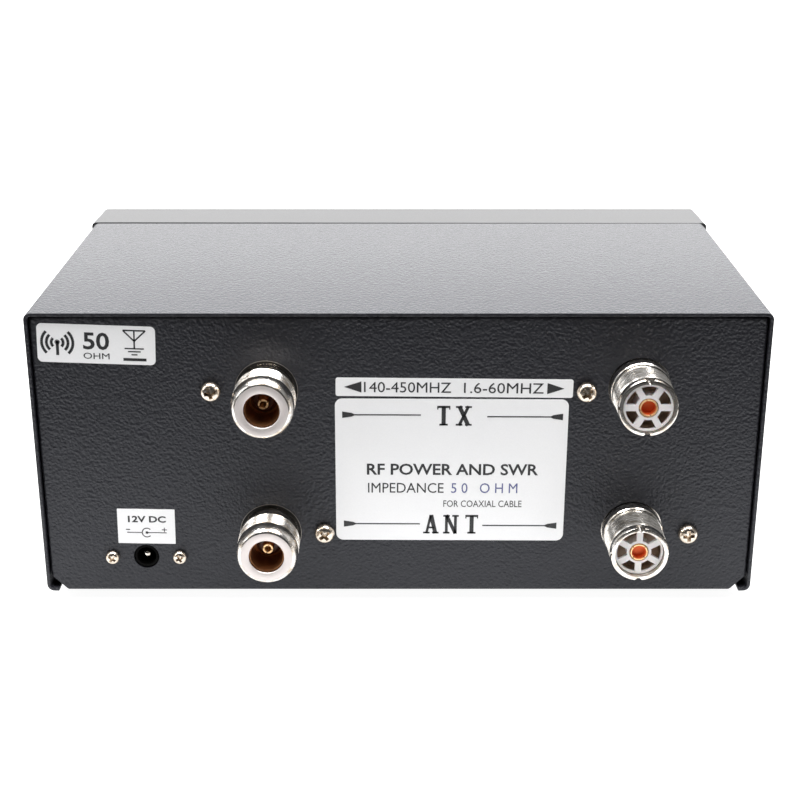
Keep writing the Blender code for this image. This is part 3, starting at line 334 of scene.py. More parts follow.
def loose_object(bm):
    mesh = bpy.data.meshes.new("loose")
    bm.to_mesh(mesh)
    bm.free()
    made = bpy.data.objects.new("loose", mesh)
    scene.collection.objects.link(made)
    return made


def carved(bm, other_bm, operation="DIFFERENCE"):
    """bm less other_bm, or joined with it, as a new bmesh."""
    solid, cutter = loose_object(bm), loose_object(other_bm)
    step = solid.modifiers.new("carve", "BOOLEAN")
    step.operation = operation
    step.object = cutter
    bpy.context.view_layer.update()
    mesh = bpy.data.meshes.new_from_object(solid.evaluated_get(bpy.context.evaluated_depsgraph_get()))
    made = bmesh.new()
    made.from_mesh(mesh)
    for used in (solid, cutter):
        bpy.data.objects.remove(used)
    bmesh.ops.remove_doubles(made, verts=made.verts, dist=0.000002)
    return made


def pan_screw(radius, height, turn_deg, shank=3.0):
    """A pan head with a tapered cross recess, facing +Y from its seat at y = 0."""
    curve = ((0.35, 0.985), (0.6, 0.93), (0.8, 0.80), (0.93, 0.60), (1.0, 0.34))
    profile = [(0, height)] + [(radius * across, height * up) for across, up in curve]
    profile += [(radius, 0.0), (radius * 0.5, 0.0), (radius * 0.5, -shank), (0, -shank)]
    head = turned(profile, 40)
    reach, depth = radius * 0.68, height * 0.85
    for turn in (0, 90):
        arm = bmesh.new()
        low, high = (-reach, height - depth, -radius * 0.2), (reach, height + 0.5, radius * 0.2)
        for vert in block(arm, low, high):
            if vert.co.y < (height - depth + 0.01) * MM:
                vert.co.x *= 0.45
                vert.co.z *= 0.6
        head = carved(head, spun(arm, turn))
    return spun(head, turn_deg)


cover_low, cover_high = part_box("top_cover")
for side, word in ((-1, "left"), (1, "right")):
    for y, end, turn_deg in ((38, "rear", 20), (-24, "front", 65)):
        out = Matrix.Rotation(math.radians(-90 * side), 4, "Z")
        at = ((cover_high.x - 0.1 * MM) * side, y * MM, cover_low.z + COVER_SCREW_UP * MM)
        screw = moved(pan_screw(COVER_SCREW_RADIUS, 0.45, turn_deg + 30 * side, 0.6), at, out)
        shown(screw, f"cover_screw_{end}_{word}", black_zinc, "case")


# ---------------------------------------------------------------- N jacks
# Two panel sockets for N plugs, turned from brass and nickel plated, with a blasted front
# face. The barrel has a plain nose, then a fine thread, then a neck and a flange behind the
# panel. Inside are a sleeve of dark bronze, which is painted shade down the bore, an amber bead
# and a slotted gold contact. A black ring in the gap behind each panel hole is painted shade.

nickel = finish("turned_nickel", (0.80, 0.765, 0.715), 0.16, 1.0)
tarnish = noise(nickel, place_of(nickel), 2.2, 3.0)
stain = ranged(nickel, tarnish, 0, 1, 0.42, 0.68)
shade(nickel, "Base Color", mixed(nickel, stain, (0.86, 0.83, 0.79), (0.55, 0.47, 0.38)))
shade(nickel, "Roughness", ranged(nickel, tarnish, 0.10, 0.26, 0.3, 0.7))
lathe_marks = noise(nickel, place_of(nickel, (0.45, 6.0, 0.45)), 1.0, 3.0, 0.6)
bumped(nickel, lathe_marks, 0.055)

blasted_nickel = finish("blasted_nickel", (0.74, 0.69, 0.67), 0.58, 1.0)
blasting = noise(blasted_nickel, place_of(blasted_nickel), 0.12, 3.0, 0.6)
shade(blasted_nickel, "Roughness", ranged(blasted_nickel, blasting, 0.52, 0.66))
bumped(blasted_nickel, blasting, 0.012)

gold = finish("gold_plate", (1.0, 0.68, 0.36), 0.42, 1.0)
grained(gold, 0.4, 0.006)
worn_edge = finish("worn_hole_edge", (0.30, 0.28, 0.26), 0.35, 1.0)
grained(worn_edge, 0.5, 0.05)
# Dark bronze for the bore's lining, in place of nickel: painted shade down the deep bore.
bore_shade_bronze = finish("bore_shade_bronze", (0.42, 0.19, 0.08), 0.36, 0.8)
grained(bore_shade_bronze, 0.5, 0.02)
amber_resin = finish("amber_resin", (0.16, 0.055, 0.02), 0.30)
grained(amber_resin, 0.5, 0.01)
# Near-black fibre for the ring behind each panel hole: painted shade in the gap round the barrel.
painted_shade_fibre = finish("painted_shade_fibre", (0.008, 0.007, 0.006), 0.7)
grained(painted_shade_fibre, 0.2, 0.02)

panel_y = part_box("chassis")[1].y
PANEL = panel_y / MM
FLANGE = PANEL - 1.3
FLANGE_BACK = FLANGE - 2.2
FLANGE_RADIUS = 12.0
N_NOSE = 8.42
N_BORE = 4.62


def thread(start, end, depth, radius, pitch):
    """Points down a run of V threads with flat crests, from y = start towards end."""
    points = []
    while start - pitch > end:
        points += [(radius - depth, start), (radius, start - pitch * 0.40)]
        points += [(radius, start - pitch * 0.56), (radius - depth, start - pitch * 0.96)]
        start -= pitch
    return points


def slotted_socket(radius, hole, tip, back, slots, slot_length, turn_deg=0):
    """A contact with a rounded mouth, a blind bore and saw cuts down its length."""
    bore_end = tip - slot_length - 1.5
    profile = [(0, bore_end), (hole, bore_end), (hole, tip - 0.15), (hole + 0.08, tip)]
    profile += [(radius - 0.12, tip), (radius, tip - 0.2), (radius, back), (0, back)]
    socket = turned(profile, 48)
    for index in range(slots):
        saw = bmesh.new()
        block(saw, (0, tip - slot_length, -0.12), (radius + 1, tip + 1, 0.12))
        socket = carved(socket, spun(saw, turn_deg + 360 * index / slots))
    return socket


def axis_of(name):
    low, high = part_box(name)
    return Vector(((low.x + high.x) / 2, 0, (low.z + high.z) / 2)), low.y / MM, high.y / MM


for label, slot_deg in (("tx", 30), ("ant", 75)):
    at, back, face = axis_of(f"n_jack_{label}_shell")
    barrel = [(7.08, face - 0.02), (7.45, face - 0.18), (7.78, face - 0.50), (8.05, face - 1.00)]
    barrel += [(8.26, face - 1.70), (8.38, face - 2.5), (N_NOSE, face - 3.2), (N_NOSE, face - 4.4)]
    barrel += [(8.12, face - 4.6), (8.12, face - 4.9)]
    barrel += [(8.34, face - 5.1)] + thread(face - 5.3, face - 10.4, 0.26, 8.44, 0.72)
    barrel += [(8.0, face - 10.8), (7.5, face - 11.2), (7.5, FLANGE)]
    barrel += [(FLANGE_RADIUS, FLANGE), (FLANGE_RADIUS, FLANGE_BACK), (5.0, FLANGE_BACK)]
    barrel += [(5.0, face - 9.5), (N_BORE, face - 9.5), (N_BORE, face - 0.75)]
    barrel += [(4.78, face - 0.35), (7.00, face - 0.35)]
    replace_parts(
        shown(moved(turned(barrel, 96, True), at), f"n_jack_{label}_barrel", nickel, "case", 28),
        f"n_jack_{label}_shell",
    )
    ring = [(4.78, face - 0.33), (4.84, face - 0.12), (5.0, face), (6.96, face), (7.06, face - 0.04)]
    ring += [(7.02, face - 0.33)]
    shown(moved(turned(ring, 96, True), at), f"n_jack_{label}_face", blasted_nickel, "case", 40)
    # The bore's dark bronze lining is painted shade down the bore.
    sleeve = [(4.50, face - 1.0), (4.60, face - 1.0), (4.60, face - 9.4), (3.6, face - 9.4)]
    sleeve += [(3.6, face - 9.1), (4.2, face - 9.1)]
    shown(moved(turned(sleeve, 64, True), at), f"n_jack_{label}_sleeve", bore_shade_bronze, "case", 40)
    bead = [(1.65, face - 8.3), (2.6, face - 8.3), (2.9, face - 8.9), (3.55, face - 9.0)]
    bead += [(3.55, face - 10.2), (3.2, face - 10.2), (3.2, face - 20.0), (1.65, face - 20.0)]
    bead = moved(turned(bead, 48, True), at)
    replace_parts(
        shown(bead, f"n_jack_{label}_bead", amber_resin, "case", 30),
        f"n_jack_{label}_insulator",
    )
    back = axis_of(f"n_jack_{label}_contact")[1]
    socket = slotted_socket(1.5, 0.85, face - 5.2, back, 4, 4.0, slot_deg)
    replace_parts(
        shown(moved(socket, at), f"n_jack_{label}_socket", gold, "case", 35),
        f"n_jack_{label}_contact",
    )
    # A black ring fills the gap between barrel and hole edge behind the panel: painted shade.
    shade_ring = [(7.55, PANEL - 0.95), (8.50, PANEL - 0.95), (8.50, PANEL - 1.25), (7.55, PANEL - 1.25)]
    shown(moved(turned(shade_ring, 64, True), at), f"n_jack_{label}_gasket", painted_shade_fibre, "case")
    edge = [(8.50, PANEL - 0.3), (8.50, PANEL + 0.02), (8.60, PANEL + 0.02), (8.60, PANEL + 0.01)]
    edge += [(8.55, PANEL + 0.01), (8.55, PANEL - 0.3)]
    shown(moved(turned(edge, 96, True), at), f"n_jack_{label}_hole_edge", worn_edge, "case")


# ---------------------------------------------------------------- UHF jacks
# Two panel sockets for UHF plugs. The nickel shell has a plain nose with notches that key
# the plug, a dark relief groove, 24 threads to the inch and a shoulder at the panel. A white
# moulded wheel with six open windows holds the wide gold-plated contact.

ivory_resin = finish(
    "ivory_resin", (0.78, 0.755, 0.755), 0.38, Subsurface_Weight=0.12, Subsurface_Scale=0.0006,
)
grained(ivory_resin, 0.5, 0.012)
tan_resin = finish("tan_resin", (0.42, 0.29, 0.20), 0.45)
grained(tan_resin, 0.5, 0.02)
red_copper = finish("red_copper_lining", (0.80, 0.15, 0.03), 0.50, 0.3)
grained(red_copper, 0.3, 0.02)
thread_nickel = finish("worn_thread_nickel", (0.76, 0.73, 0.68), 0.2, 1.0)
wear = noise(thread_nickel, place_of(thread_nickel, (0.35, 1.6, 0.35)), 0.9, 3.0, 0.6)
worn = ranged(thread_nickel, wear, 0, 1, 0.45, 0.70)
shade(thread_nickel, "Base Color", mixed(thread_nickel, worn, (0.84, 0.81, 0.77), (0.40, 0.36, 0.30)))
shade(thread_nickel, "Roughness", ranged(thread_nickel, wear, 0.14, 0.26))
bumped(thread_nickel, wear, 0.03)

UHF_THREAD = 7.94
UHF_PITCH = 25.4 / 24
WHEEL_HUB, WHEEL_RIM, SPOKE_HALF = 3.35, 6.02, 0.84

def window_cutter(hub, rim, half_spoke, middle_deg, y_low, y_high):
    """A wedge-shaped prism between two spokes of the wheel."""
    bm = bmesh.new()
    outline = []
    for radius, order, steps in ((hub, 1, 4), (rim, -1, 10)):
        reach = math.radians(30) - math.asin(half_spoke / radius)
        turns = [order * reach * (2 * i / steps - 1) + math.radians(middle_deg) for i in range(steps + 1)]
        outline += [
            bm.verts.new((radius * MM * math.cos(a), y_low * MM, radius * MM * math.sin(a))) for a in turns
        ]
    made = bmesh.ops.extrude_face_region(bm, geom=[bm.faces.new(outline)])["geom"]
    far = [v for v in made if isinstance(v, bmesh.types.BMVert)]
    bmesh.ops.translate(bm, verts=far, vec=(0, (y_high - y_low) * MM, 0))
    bmesh.ops.recalc_face_normals(bm, faces=bm.faces)
    return bm


for label, first_spoke_deg in (("tx", 0), ("ant", 30)):
    at, back, face = axis_of(f"uhf_jack_{label}_shell")
    nose = [(6.70, face), (7.45, face), (7.74, face - 0.14), (7.90, face - 0.5), (UHF_THREAD, face - 1.0)]
    nose += [(UHF_THREAD, face - 2.2), (7.70, face - 2.4), (6.95, face - 2.5), (6.70, face - 2.5)]
    nose = turned(nose, 96, True)
    for turn, size in ((90, 1.15), (270, 1.25), (0, 0.5), (180, 0.5)):
        notch = bmesh.new()
        block(notch, (-size * 0.75, face - 1.5 * size, -size * 0.75), (size * 0.75, face + 1, size * 0.75))
        spun(notch, 45)
        bmesh.ops.translate(notch, verts=notch.verts, vec=(7.9 * MM, 0, 0))
        nose = carved(nose, spun(notch, turn))
    shown(moved(nose, at), f"uhf_jack_{label}_nose", nickel, "case", 28)
    barrel = [(6.72, face - 2.52), (6.92, face - 2.52), (6.92, face - 3.3), (7.3, face - 3.5)]
    barrel += thread(face - 3.6, face - 11.6, 0.55, UHF_THREAD, UHF_PITCH)
    barrel += [(7.4, face - 12.0), (8.05, face - 12.2), (8.28, face - 12.5), (8.28, FLANGE)]
    barrel += [(FLANGE_RADIUS, FLANGE), (FLANGE_RADIUS, FLANGE_BACK), (5.5, FLANGE_BACK)]
    barrel += [(5.5, face - 6.6), (6.72, face - 6.6)]
    barrel = moved(turned(barrel, 96, True), at)
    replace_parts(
        shown(barrel, f"uhf_jack_{label}_barrel", thread_nickel, "case", 28),
        f"uhf_jack_{label}_shell",
    )
    wheel_face = axis_of(f"uhf_jack_{label}_insulator")[2] + 0.4
    wheel = [(2.62, wheel_face - 0.10), (2.72, wheel_face), (6.48, wheel_face), (6.62, wheel_face - 0.15)]
    wheel = turned(wheel + [(6.62, wheel_face - 1.1), (2.62, wheel_face - 1.1)], 96, True)
    for index in range(6):
        middle = first_spoke_deg + 30 + 60 * index
        window = window_cutter(WHEEL_HUB, WHEEL_RIM, SPOKE_HALF, middle, wheel_face - 3, wheel_face + 1)
        wheel = carved(wheel, window)
    hub = [(2.62, wheel_face - 0.8), (3.32, wheel_face - 0.8), (3.32, face - 6.4), (2.62, face - 6.4)]
    wheel = carved(wheel, turned(hub, 64, True), "UNION")
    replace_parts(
        shown(moved(wheel, at), f"uhf_jack_{label}_wheel", ivory_resin, "case", 35),
        f"uhf_jack_{label}_insulator",
    )
    floor = [(3.34, face - 5.7), (6.2, face - 5.7), (6.2, face - 6.4), (3.34, face - 6.4)]
    shown(moved(turned(floor, 64, True), at), f"uhf_jack_{label}_seat", tan_resin, "case")
    sleeve = [(6.25, face - 2.6), (6.64, face - 2.6), (6.64, face - 6.5), (6.25, face - 6.5)]
    shown(moved(turned(sleeve, 64, True), at), f"uhf_jack_{label}_sleeve", tan_resin, "case")
    back = axis_of(f"uhf_jack_{label}_contact")[1]
    socket = slotted_socket(2.4, 1.95, wheel_face + 0.15, back, 4, 7.0, first_spoke_deg + 15)
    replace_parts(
        shown(moved(socket, at), f"uhf_jack_{label}_socket", gold, "case", 35),
        f"uhf_jack_{label}_contact",
    )
    lining = [(0, wheel_face - 1.8), (1.80, wheel_face - 1.8), (1.80, wheel_face - 0.5)]
    lining += [(1.93, wheel_face - 0.5), (1.93, wheel_face - 7.2), (0, wheel_face - 7.2)]
    shown(moved(turned(lining, 48), at), f"uhf_jack_{label}_lining", red_copper, "case", 40)


# ---------------------------------------------------------------- rear screws
# Four M3 pan-head screws hold the two coupler boxes, and two smaller ones the power socket.
# All are nickel-plated steel with a faint yellow passivation.

screw_plate = finish("yellowed_nickel", (0.80, 0.74, 0.62), 0.20, 1.0)
passivation = noise(screw_plate, place_of(screw_plate), 0.9, 3.0)
shade(screw_plate, "Base Color", mixed(screw_plate, passivation, (0.88, 0.84, 0.78), (0.58, 0.44, 0.30)))
grained(screw_plate, 0.4, 0.03)

REAR_SCREWS = (
    ("coupler_screw_1", 2.8, 2.3, 12),
    ("coupler_screw_2", 2.8, 2.3, 38),
    ("coupler_screw_3", 2.8, 2.3, 40),
    ("coupler_screw_4", 2.8, 2.3, 5),
    ("dc_jack_screw_left", 2.0, 1.6, 25),
    ("dc_jack_screw_right", 2.0, 1.6, 55),
)
for name, radius, height, turn_deg in REAR_SCREWS:
    at, back, front = axis_of(name)
    at.y = (front - height) * MM
    screw = moved(pan_screw(radius, height, turn_deg), at)
    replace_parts(shown(screw, name + "_head", screw_plate, "case", 30), name)


# ---------------------------------------------------------------- power socket
# A barrel socket of black moulding, screwed behind the panel by two ears. Its mouth lies
# just inside the panel's hole, and a bright pin stands in the middle.

# Black moulding, darkened further and nearly without sheen: painted shade inside the panel's hole.
socket_black_and_shade = finish("socket_black_and_shade", (0.002, 0.002, 0.002), 0.6, Specular_IOR_Level=0.05)
grained(socket_black_and_shade, 0.3, 0.012)
refined("dc_jack", socket_black_and_shade, "case")
at, back, tip = axis_of("dc_jack_pin")
pin = [(0, tip), (0.45, tip - 0.06), (0.8, tip - 0.3), (0.98, tip - 0.75), (0.98, back), (0, back)]
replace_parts(shown(moved(turned(pin, 32), at), "dc_pin", nickel, "case"), "dc_jack_pin")


# ---------------------------------------------------------------- rear labels
# Four printed paper labels under clear film, stuck to the rear panel by hand: the jack
# legend, the band strip over it, the symbol label in the corner and the supply label.

label_film = finish("label_film", (0.85, 0.85, 0.855), 0.34, Coat_Weight=0.1, Coat_Roughness=0.15)
paper_grain = noise(label_film, place_of(label_film), 0.35, 3.0)
shade(label_film, "Base Color", mixed(label_film, paper_grain, (0.82, 0.82, 0.825), (0.88, 0.88, 0.885)))
grained(label_film, 5.0, 0.03)
label_ink = finish("label_ink", (0.018, 0.018, 0.020), 0.45)
shade(label_ink, "Roughness", ranged(label_ink, noise(label_ink, place_of(label_ink), 0.2), 0.38, 0.55))
stamp_ink = finish("stamp_ink", (0.10, 0.11, 0.26), 0.5)
shade(stamp_ink, "Roughness", ranged(stamp_ink, noise(stamp_ink, place_of(stamp_ink), 0.2), 0.4, 0.6))

LABEL_THICKNESS = 0.10
INK = 0.02


def sticker(name, x, z, width, height, corner, tilt_deg):
    """A label centred at (x, z) on the rear panel. Returns where its print goes."""
    bm = bmesh.new()
    block(bm, (-width / 2, -height / 2, 0), (width / 2, height / 2, LABEL_THICKNESS))
    upright = [e for e in bm.edges if abs(e.verts[0].co.z - e.verts[1].co.z) > 0.5 * LABEL_THICKNESS * MM]
    bmesh.ops.bevel(
        bm, geom=upright, offset=corner * MM, segments=8, profile=0.5, affect="EDGES", material=-1,
    )
    facing = (
        Matrix.Translation((x * MM, panel_y + 0.02 * MM, z * MM))
        @ Matrix.Rotation(math.radians(180), 4, "Z")
        @ Matrix.Rotation(math.radians(90), 4, "X")
        @ Matrix.Rotation(math.radians(tilt_deg), 4, "Z")
    )
    shown(moved(bm, (0, 0, 0), facing), name, label_film, "case")
    return facing @ Matrix.Translation((0, 0, (LABEL_THICKNESS + 0.01) * MM))


def stroke(bm, start, end, width, end_width=None):
    """A bar of ink from one point to another, in millimetres, tapered if end_width is given."""
    start, end = Vector((*start, 0)) * MM, Vector((*end, 0)) * MM
    along = end - start
    bar = bmesh.ops.create_cube(bm, size=1)["verts"]
    bmesh.ops.scale(bm, verts=bar, vec=(along.length, width * MM, INK * MM))
    for vert in bar:
        if end_width is not None and vert.co.x > 0:
            vert.co.y *= end_width / width
    turn = Matrix.Rotation(math.atan2(along.y, along.x), 4, "Z")
    lift = Matrix.Translation((start + end) / 2 + Vector((0, 0, INK * MM / 2)))
    bmesh.ops.transform(bm, matrix=lift @ turn, verts=bar)


def on_circle(centre, radius, degrees):
    """A point on a circle, its angle counted clockwise from the top."""
    angle = math.radians(90 - degrees)
    return centre[0] + radius * math.cos(angle), centre[1] + radius * math.sin(angle)


def ink_arc(bm, centre, radius, start_deg, end_deg, width, steps=20):
    """An arc of ink, clockwise from the top, as a run of short bars."""
    turns = [start_deg + (end_deg - start_deg) * i / steps for i in range(steps + 1)]
    points = [on_circle(centre, radius, turn) for turn in turns]
    for first, second in zip(points, points[1:]):
        stroke(bm, first, second, width)


def words(bm, text, x, y, height, width=None, weight=0.0):
    """Adds lettering centred at (x, y), height tall, and squeezed to width if it is given."""
    curve = bpy.data.curves.new("words", "FONT")
    curve.body = text
    curve.size = 1.0
    curve.offset = weight
    curve.resolution_u = 3
    curve.extrude = 0.004
    holder = bpy.data.objects.new("words", curve)
    scene.collection.objects.link(holder)
    bpy.context.view_layer.update()
    mesh = bpy.data.meshes.new_from_object(holder.evaluated_get(bpy.context.evaluated_depsgraph_get()))
    bpy.data.objects.remove(holder)
    across = [v.co.x for v in mesh.vertices]
    up = [v.co.y for v in mesh.vertices]
    middle = Vector(((min(across) + max(across)) / 2, (min(up) + max(up)) / 2, -0.004))
    tall = height * MM / (max(up) - min(up))
    wide = tall if width is None else width * MM / (max(across) - min(across))
    fit = Matrix.Diagonal((wide, tall, INK * MM / 0.008, 1)) @ Matrix.Translation(-middle)
    mesh.transform(Matrix.Translation((x * MM, y * MM, 0)) @ fit)
    bm.from_mesh(mesh)


def printed(bm, name, facing, ink):
    return shown(moved(bm, (0, 0, 0), facing), name, ink, "case", 20)


def slab_letter(bm, letter, x, y, height, width):
    """A heavy condensed letter with square serifs, drawn with bars."""
    h, w, thick, serif = height / 2, width / 2, height * 0.20, height * 0.09
    left, right = x - w * 0.72, x + w * 0.72
    if letter == "T":
        stroke(bm, (x - w, y + h - serif / 2), (x + w, y + h - serif / 2), serif * 1.2)
        stroke(bm, (x, y - h), (x, y + h), thick)
        stroke(bm, (x - thick, y - h + serif / 2), (x + thick, y - h + serif / 2), serif)
        for end in (x - w + 0.12, x + w - 0.12):
            stroke(bm, (end, y + h), (end, y + h - height * 0.18), serif * 0.6)
        return
    if letter == "X":
        stroke(bm, (left, y + h), (right, y - h), thick)
        stroke(bm, (left, y - h), (right, y + h), thick * 0.7)
    elif letter == "A":
        stroke(bm, (left, y - h), (x - 0.05, y + h), thick * 0.62)
        stroke(bm, (right, y - h), (x + 0.05, y + h), thick)
        stroke(bm, (left + 0.3, y - h * 0.35), (right - 0.3, y - h * 0.35), serif)
    elif letter == "N":
        stroke(bm, (left, y - h), (left, y + h), thick * 0.7)
        stroke(bm, (right, y - h), (right, y + h), thick * 0.7)
        stroke(bm, (left, y + h), (right, y - h), thick * 0.85)
    for end in (left, right):
        if letter != "N" or end < x:
            stroke(bm, (end - thick * 0.8, y - h + serif / 2), (end + thick * 0.8, y - h + serif / 2), serif)
        if letter != "A":
            stroke(bm, (end - thick * 0.8, y + h - serif / 2), (end + thick * 0.8, y + h - serif / 2), serif)


def legend_arrow(bm, outer, inner, y):
    """A thin line that starts from a flared tail at its outer end."""
    inward = 1 if inner > outer else -1
    stroke(bm, (outer, y), (outer + inward * 2.7, y), 1.9, 1.05)
    stroke(bm, (outer + inward * 2.65, y), (outer + inward * 3.4, y), 1.0, 0.34)
    stroke(bm, (outer + inward * 3.3, y), (inner, y), 0.36)


base_z = cover_low.z / MM
facing = sticker("jack_legend_label", -14.4, base_z + 36.95, 63.7, 42.4, 2.0, -0.26)
bm = bmesh.new()
LEGEND = (("T", -2.2, 16.3), ("X", 3.3, 16.3), ("A", -5.3, -16.3), ("N", 0.3, -16.3), ("T", 6.1, -16.3))
for letter, x, y in LEGEND:
    slab_letter(bm, letter, x, y, 5.7, 3.5)
legend_arrow(bm, -29.9, -8.4, 16.5)
legend_arrow(bm, 30.4, 9.7, 16.1)
legend_arrow(bm, -29.7, -8.4, -16.2)
legend_arrow(bm, 29.9, 9.1, -16.6)
words(bm, "RF POWER AND SWR", 0.5, 0.4, 3.4, 47.4, weight=0.02)
words(bm, "IMPEDANCE", -12.4, -5.2, 3.0, 21.0)
words(bm, "FOR COAXIAL CABLE", 9.0, -9.95, 2.0, 21.8)
printed(bm, "jack_legend_print", facing, label_ink)
bm = bmesh.new()
words(bm, "5 0   O H M", 9.4, -5.2, 3.0, 18.4)
printed(bm, "jack_legend_stamp", facing, stamp_ink)

facing = sticker("band_strip_label", -15.1, base_z + 61.4, 64.4, 5.3, 0.6, -0.53)
bm = bmesh.new()
for side, centre, text, width in ((-1, -12.7, "140-450MHZ", 23.6), (1, 13.4, "1.6-60MHZ", 21.6)):
    tip = side * 29.8
    stroke(bm, (tip - side * 4.6, 0), (tip, 0), 3.2, 0.05)
    words(bm, text, centre, 0, 3.0, width)
printed(bm, "band_strip_print", facing, label_ink)

facing = sticker("symbol_label", 81.1, base_z + 73.8, 31.7, 10.9, 1.4, -2.0)
bm = bmesh.new()
for radius in (1.6, 2.9, 4.2):
    for middle in (-90, 90):
        ink_arc(bm, (-10.4, 0.2), radius, middle - 46, middle + 46, 0.75, 12)
stroke(bm, (-10.4, -3.4), (-10.4, 0.6), 0.8)
ink_arc(bm, (-10.4, 0.3), 0.35, 0, 360, 0.8, 12)
words(bm, "50", 0.0, 0.9, 4.9, 7.0, weight=0.02)
words(bm, "OHM", 0.0, -3.3, 1.7, 7.0)
stroke(bm, (10.2, 4.2), (10.2, -0.9), 0.4)
stroke(bm, (7.2, 4.2), (13.2, 4.2), 0.4)
stroke(bm, (7.2, 4.2), (10.2, 1.2), 0.4)
stroke(bm, (13.2, 4.2), (10.2, 1.2), 0.4)
for index, half in enumerate((2.6, 1.7, 0.8)):
    stroke(bm, (10.2 - half, -0.9 - index * 0.85), (10.2 + half, -0.9 - index * 0.85), 0.35)
stroke(bm, (7.2, -4.0), (13.4, -4.0), 0.8)
printed(bm, "symbol_print", facing, label_ink)

facing = sticker("supply_label", 70.8, base_z + 20.0, 16.1, 10.6, 0.15, -1.0)
bm = bmesh.new()
words(bm, "12V DC", 0.2, 2.2, 2.0, 10.6, weight=0.03)
stroke(bm, (-5.5, -1.9), (-1.2, -1.9), 0.24)
stroke(bm, (0.1, -1.9), (5.6, -1.9), 0.24)
ink_arc(bm, (0.1, -1.9), 1.35, 135, 405, 0.28, 18)
ink_arc(bm, (0.1, -1.9), 0.25, 0, 360, 0.4, 8)
stroke(bm, (-5.8, -1.0), (-4.6, -1.0), 0.24)
stroke(bm, (4.3, -1.0), (5.7, -1.0), 0.24)
stroke(bm, (5.0, -1.65), (5.0, -0.35), 0.24)
printed(bm, "supply_print", facing, label_ink)


# ---------------------------------------------------------------- front bezel
# The bezel is one black moulding that plugs onto the chassis. It is satin outside, with a
# splayed opening round the fascia, and its top lies flush with the cover.

satin_black = finish("satin_black_moulding", (0.012, 0.012, 0.013), 0.40)
moulded_skin = noise(satin_black, place_of(satin_black), 0.35, 2.0)
shade(satin_black, "Roughness", ranged(satin_black, moulded_skin, 0.37, 0.46))
bumped(satin_black, moulded_skin, 0.015)
refined("front_bezel", satin_black, "case")


# ---------------------------------------------------------------- fascia
# The fascia is 1.5 mm aluminium, painted matt black and screen-printed in white. Plain
# legends stand by the controls, with a tick for each position of the two switches.

fascia_paint = finish("matt_fascia_paint", (0.016, 0.016, 0.018), 0.55)
fleck = noise(fascia_paint, place_of(fascia_paint), 0.18, 2.0)
shade(fascia_paint, "Roughness", ranged(fascia_paint, fleck, 0.48, 0.62))
bumped(fascia_paint, fleck, 0.015)
refined("front_panel", fascia_paint, "case")
white_ink = finish("white_ink", (0.80, 0.80, 0.78), 0.5)
shade(white_ink, "Roughness", ranged(white_ink, noise(white_ink, place_of(white_ink), 0.2), 0.42, 0.6))

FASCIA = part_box("front_panel")[0].y / MM


def facing_front(y):
    """Stands print up on a plane at y, read from the front."""
    return Matrix.Translation((0, (y - 0.01) * MM, 0)) @ Matrix.Rotation(math.radians(90), 4, "X")


def front_centre(name):
    low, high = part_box(name)
    return (low.x + high.x) / 2 / MM, (low.z + high.z) / 2 / MM


bm = bmesh.new()
LEGENDS = (
    ("function_knob", "FUNCTION", -13.6, 2.0), ("range_knob", "RANGE", -13.6, 2.0),
    ("calibration_knob", "CAL", 12.6, 2.0), ("toggle_switch", "AVG", 8.2, 1.7),
    ("toggle_switch", "PEP", -8.4, 1.7), ("sensor_button", "SENSOR", -8.0, 1.7),
    ("peak_button", "HOLD", -8.0, 1.7),
)
for name, text, above, height in LEGENDS:
    x, z = front_centre(name)
    words(bm, text, x, z + above, height)
for name, texts in (("function_knob", ("PWR", "CAL", "SWR")), ("range_knob", ("5W", "20W", "200W"))):
    centre = front_centre(name)
    for index, text in enumerate(texts):
        turn = -30 + 30 * index
        stroke(bm, on_circle(centre, 11.4, turn), on_circle(centre, 12.8, turn), 0.35)
        words(bm, text, *on_circle(centre, 15.0, turn), 1.7)
centre = front_centre("calibration_knob")
for index in range(11):
    turn = -140 + 28 * index
    stroke(bm, on_circle(centre, 9.4, turn), on_circle(centre, 10.4, turn), 0.3)
printed(bm, "fascia_print", facing_front(FASCIA), white_ink)


# ---------------------------------------------------------------- meter
# A panel meter behind a clear acrylic window. The cream printed dial carries a power scale
# and an SWR scale in black and red, and a lamp board stands behind it.

clear_acrylic = finish("clear_acrylic", (0.98, 0.99, 0.99), 0.03, Transmission_Weight=1.0, IOR=1.49)
grained(clear_acrylic, 9.0, 0.01)
refined("meter_window", clear_acrylic, "case")
dial_cream = finish("dial_cream", (0.86, 0.83, 0.70), 0.6)
dial_grain = noise(dial_cream, place_of(dial_cream), 0.3, 2.0)
shade(dial_cream, "Base Color", mixed(dial_cream, dial_grain, (0.84, 0.81, 0.68), (0.88, 0.85, 0.73)))
bumped(dial_cream, dial_grain, 0.01)
refined("meter_dial", dial_cream, "case")

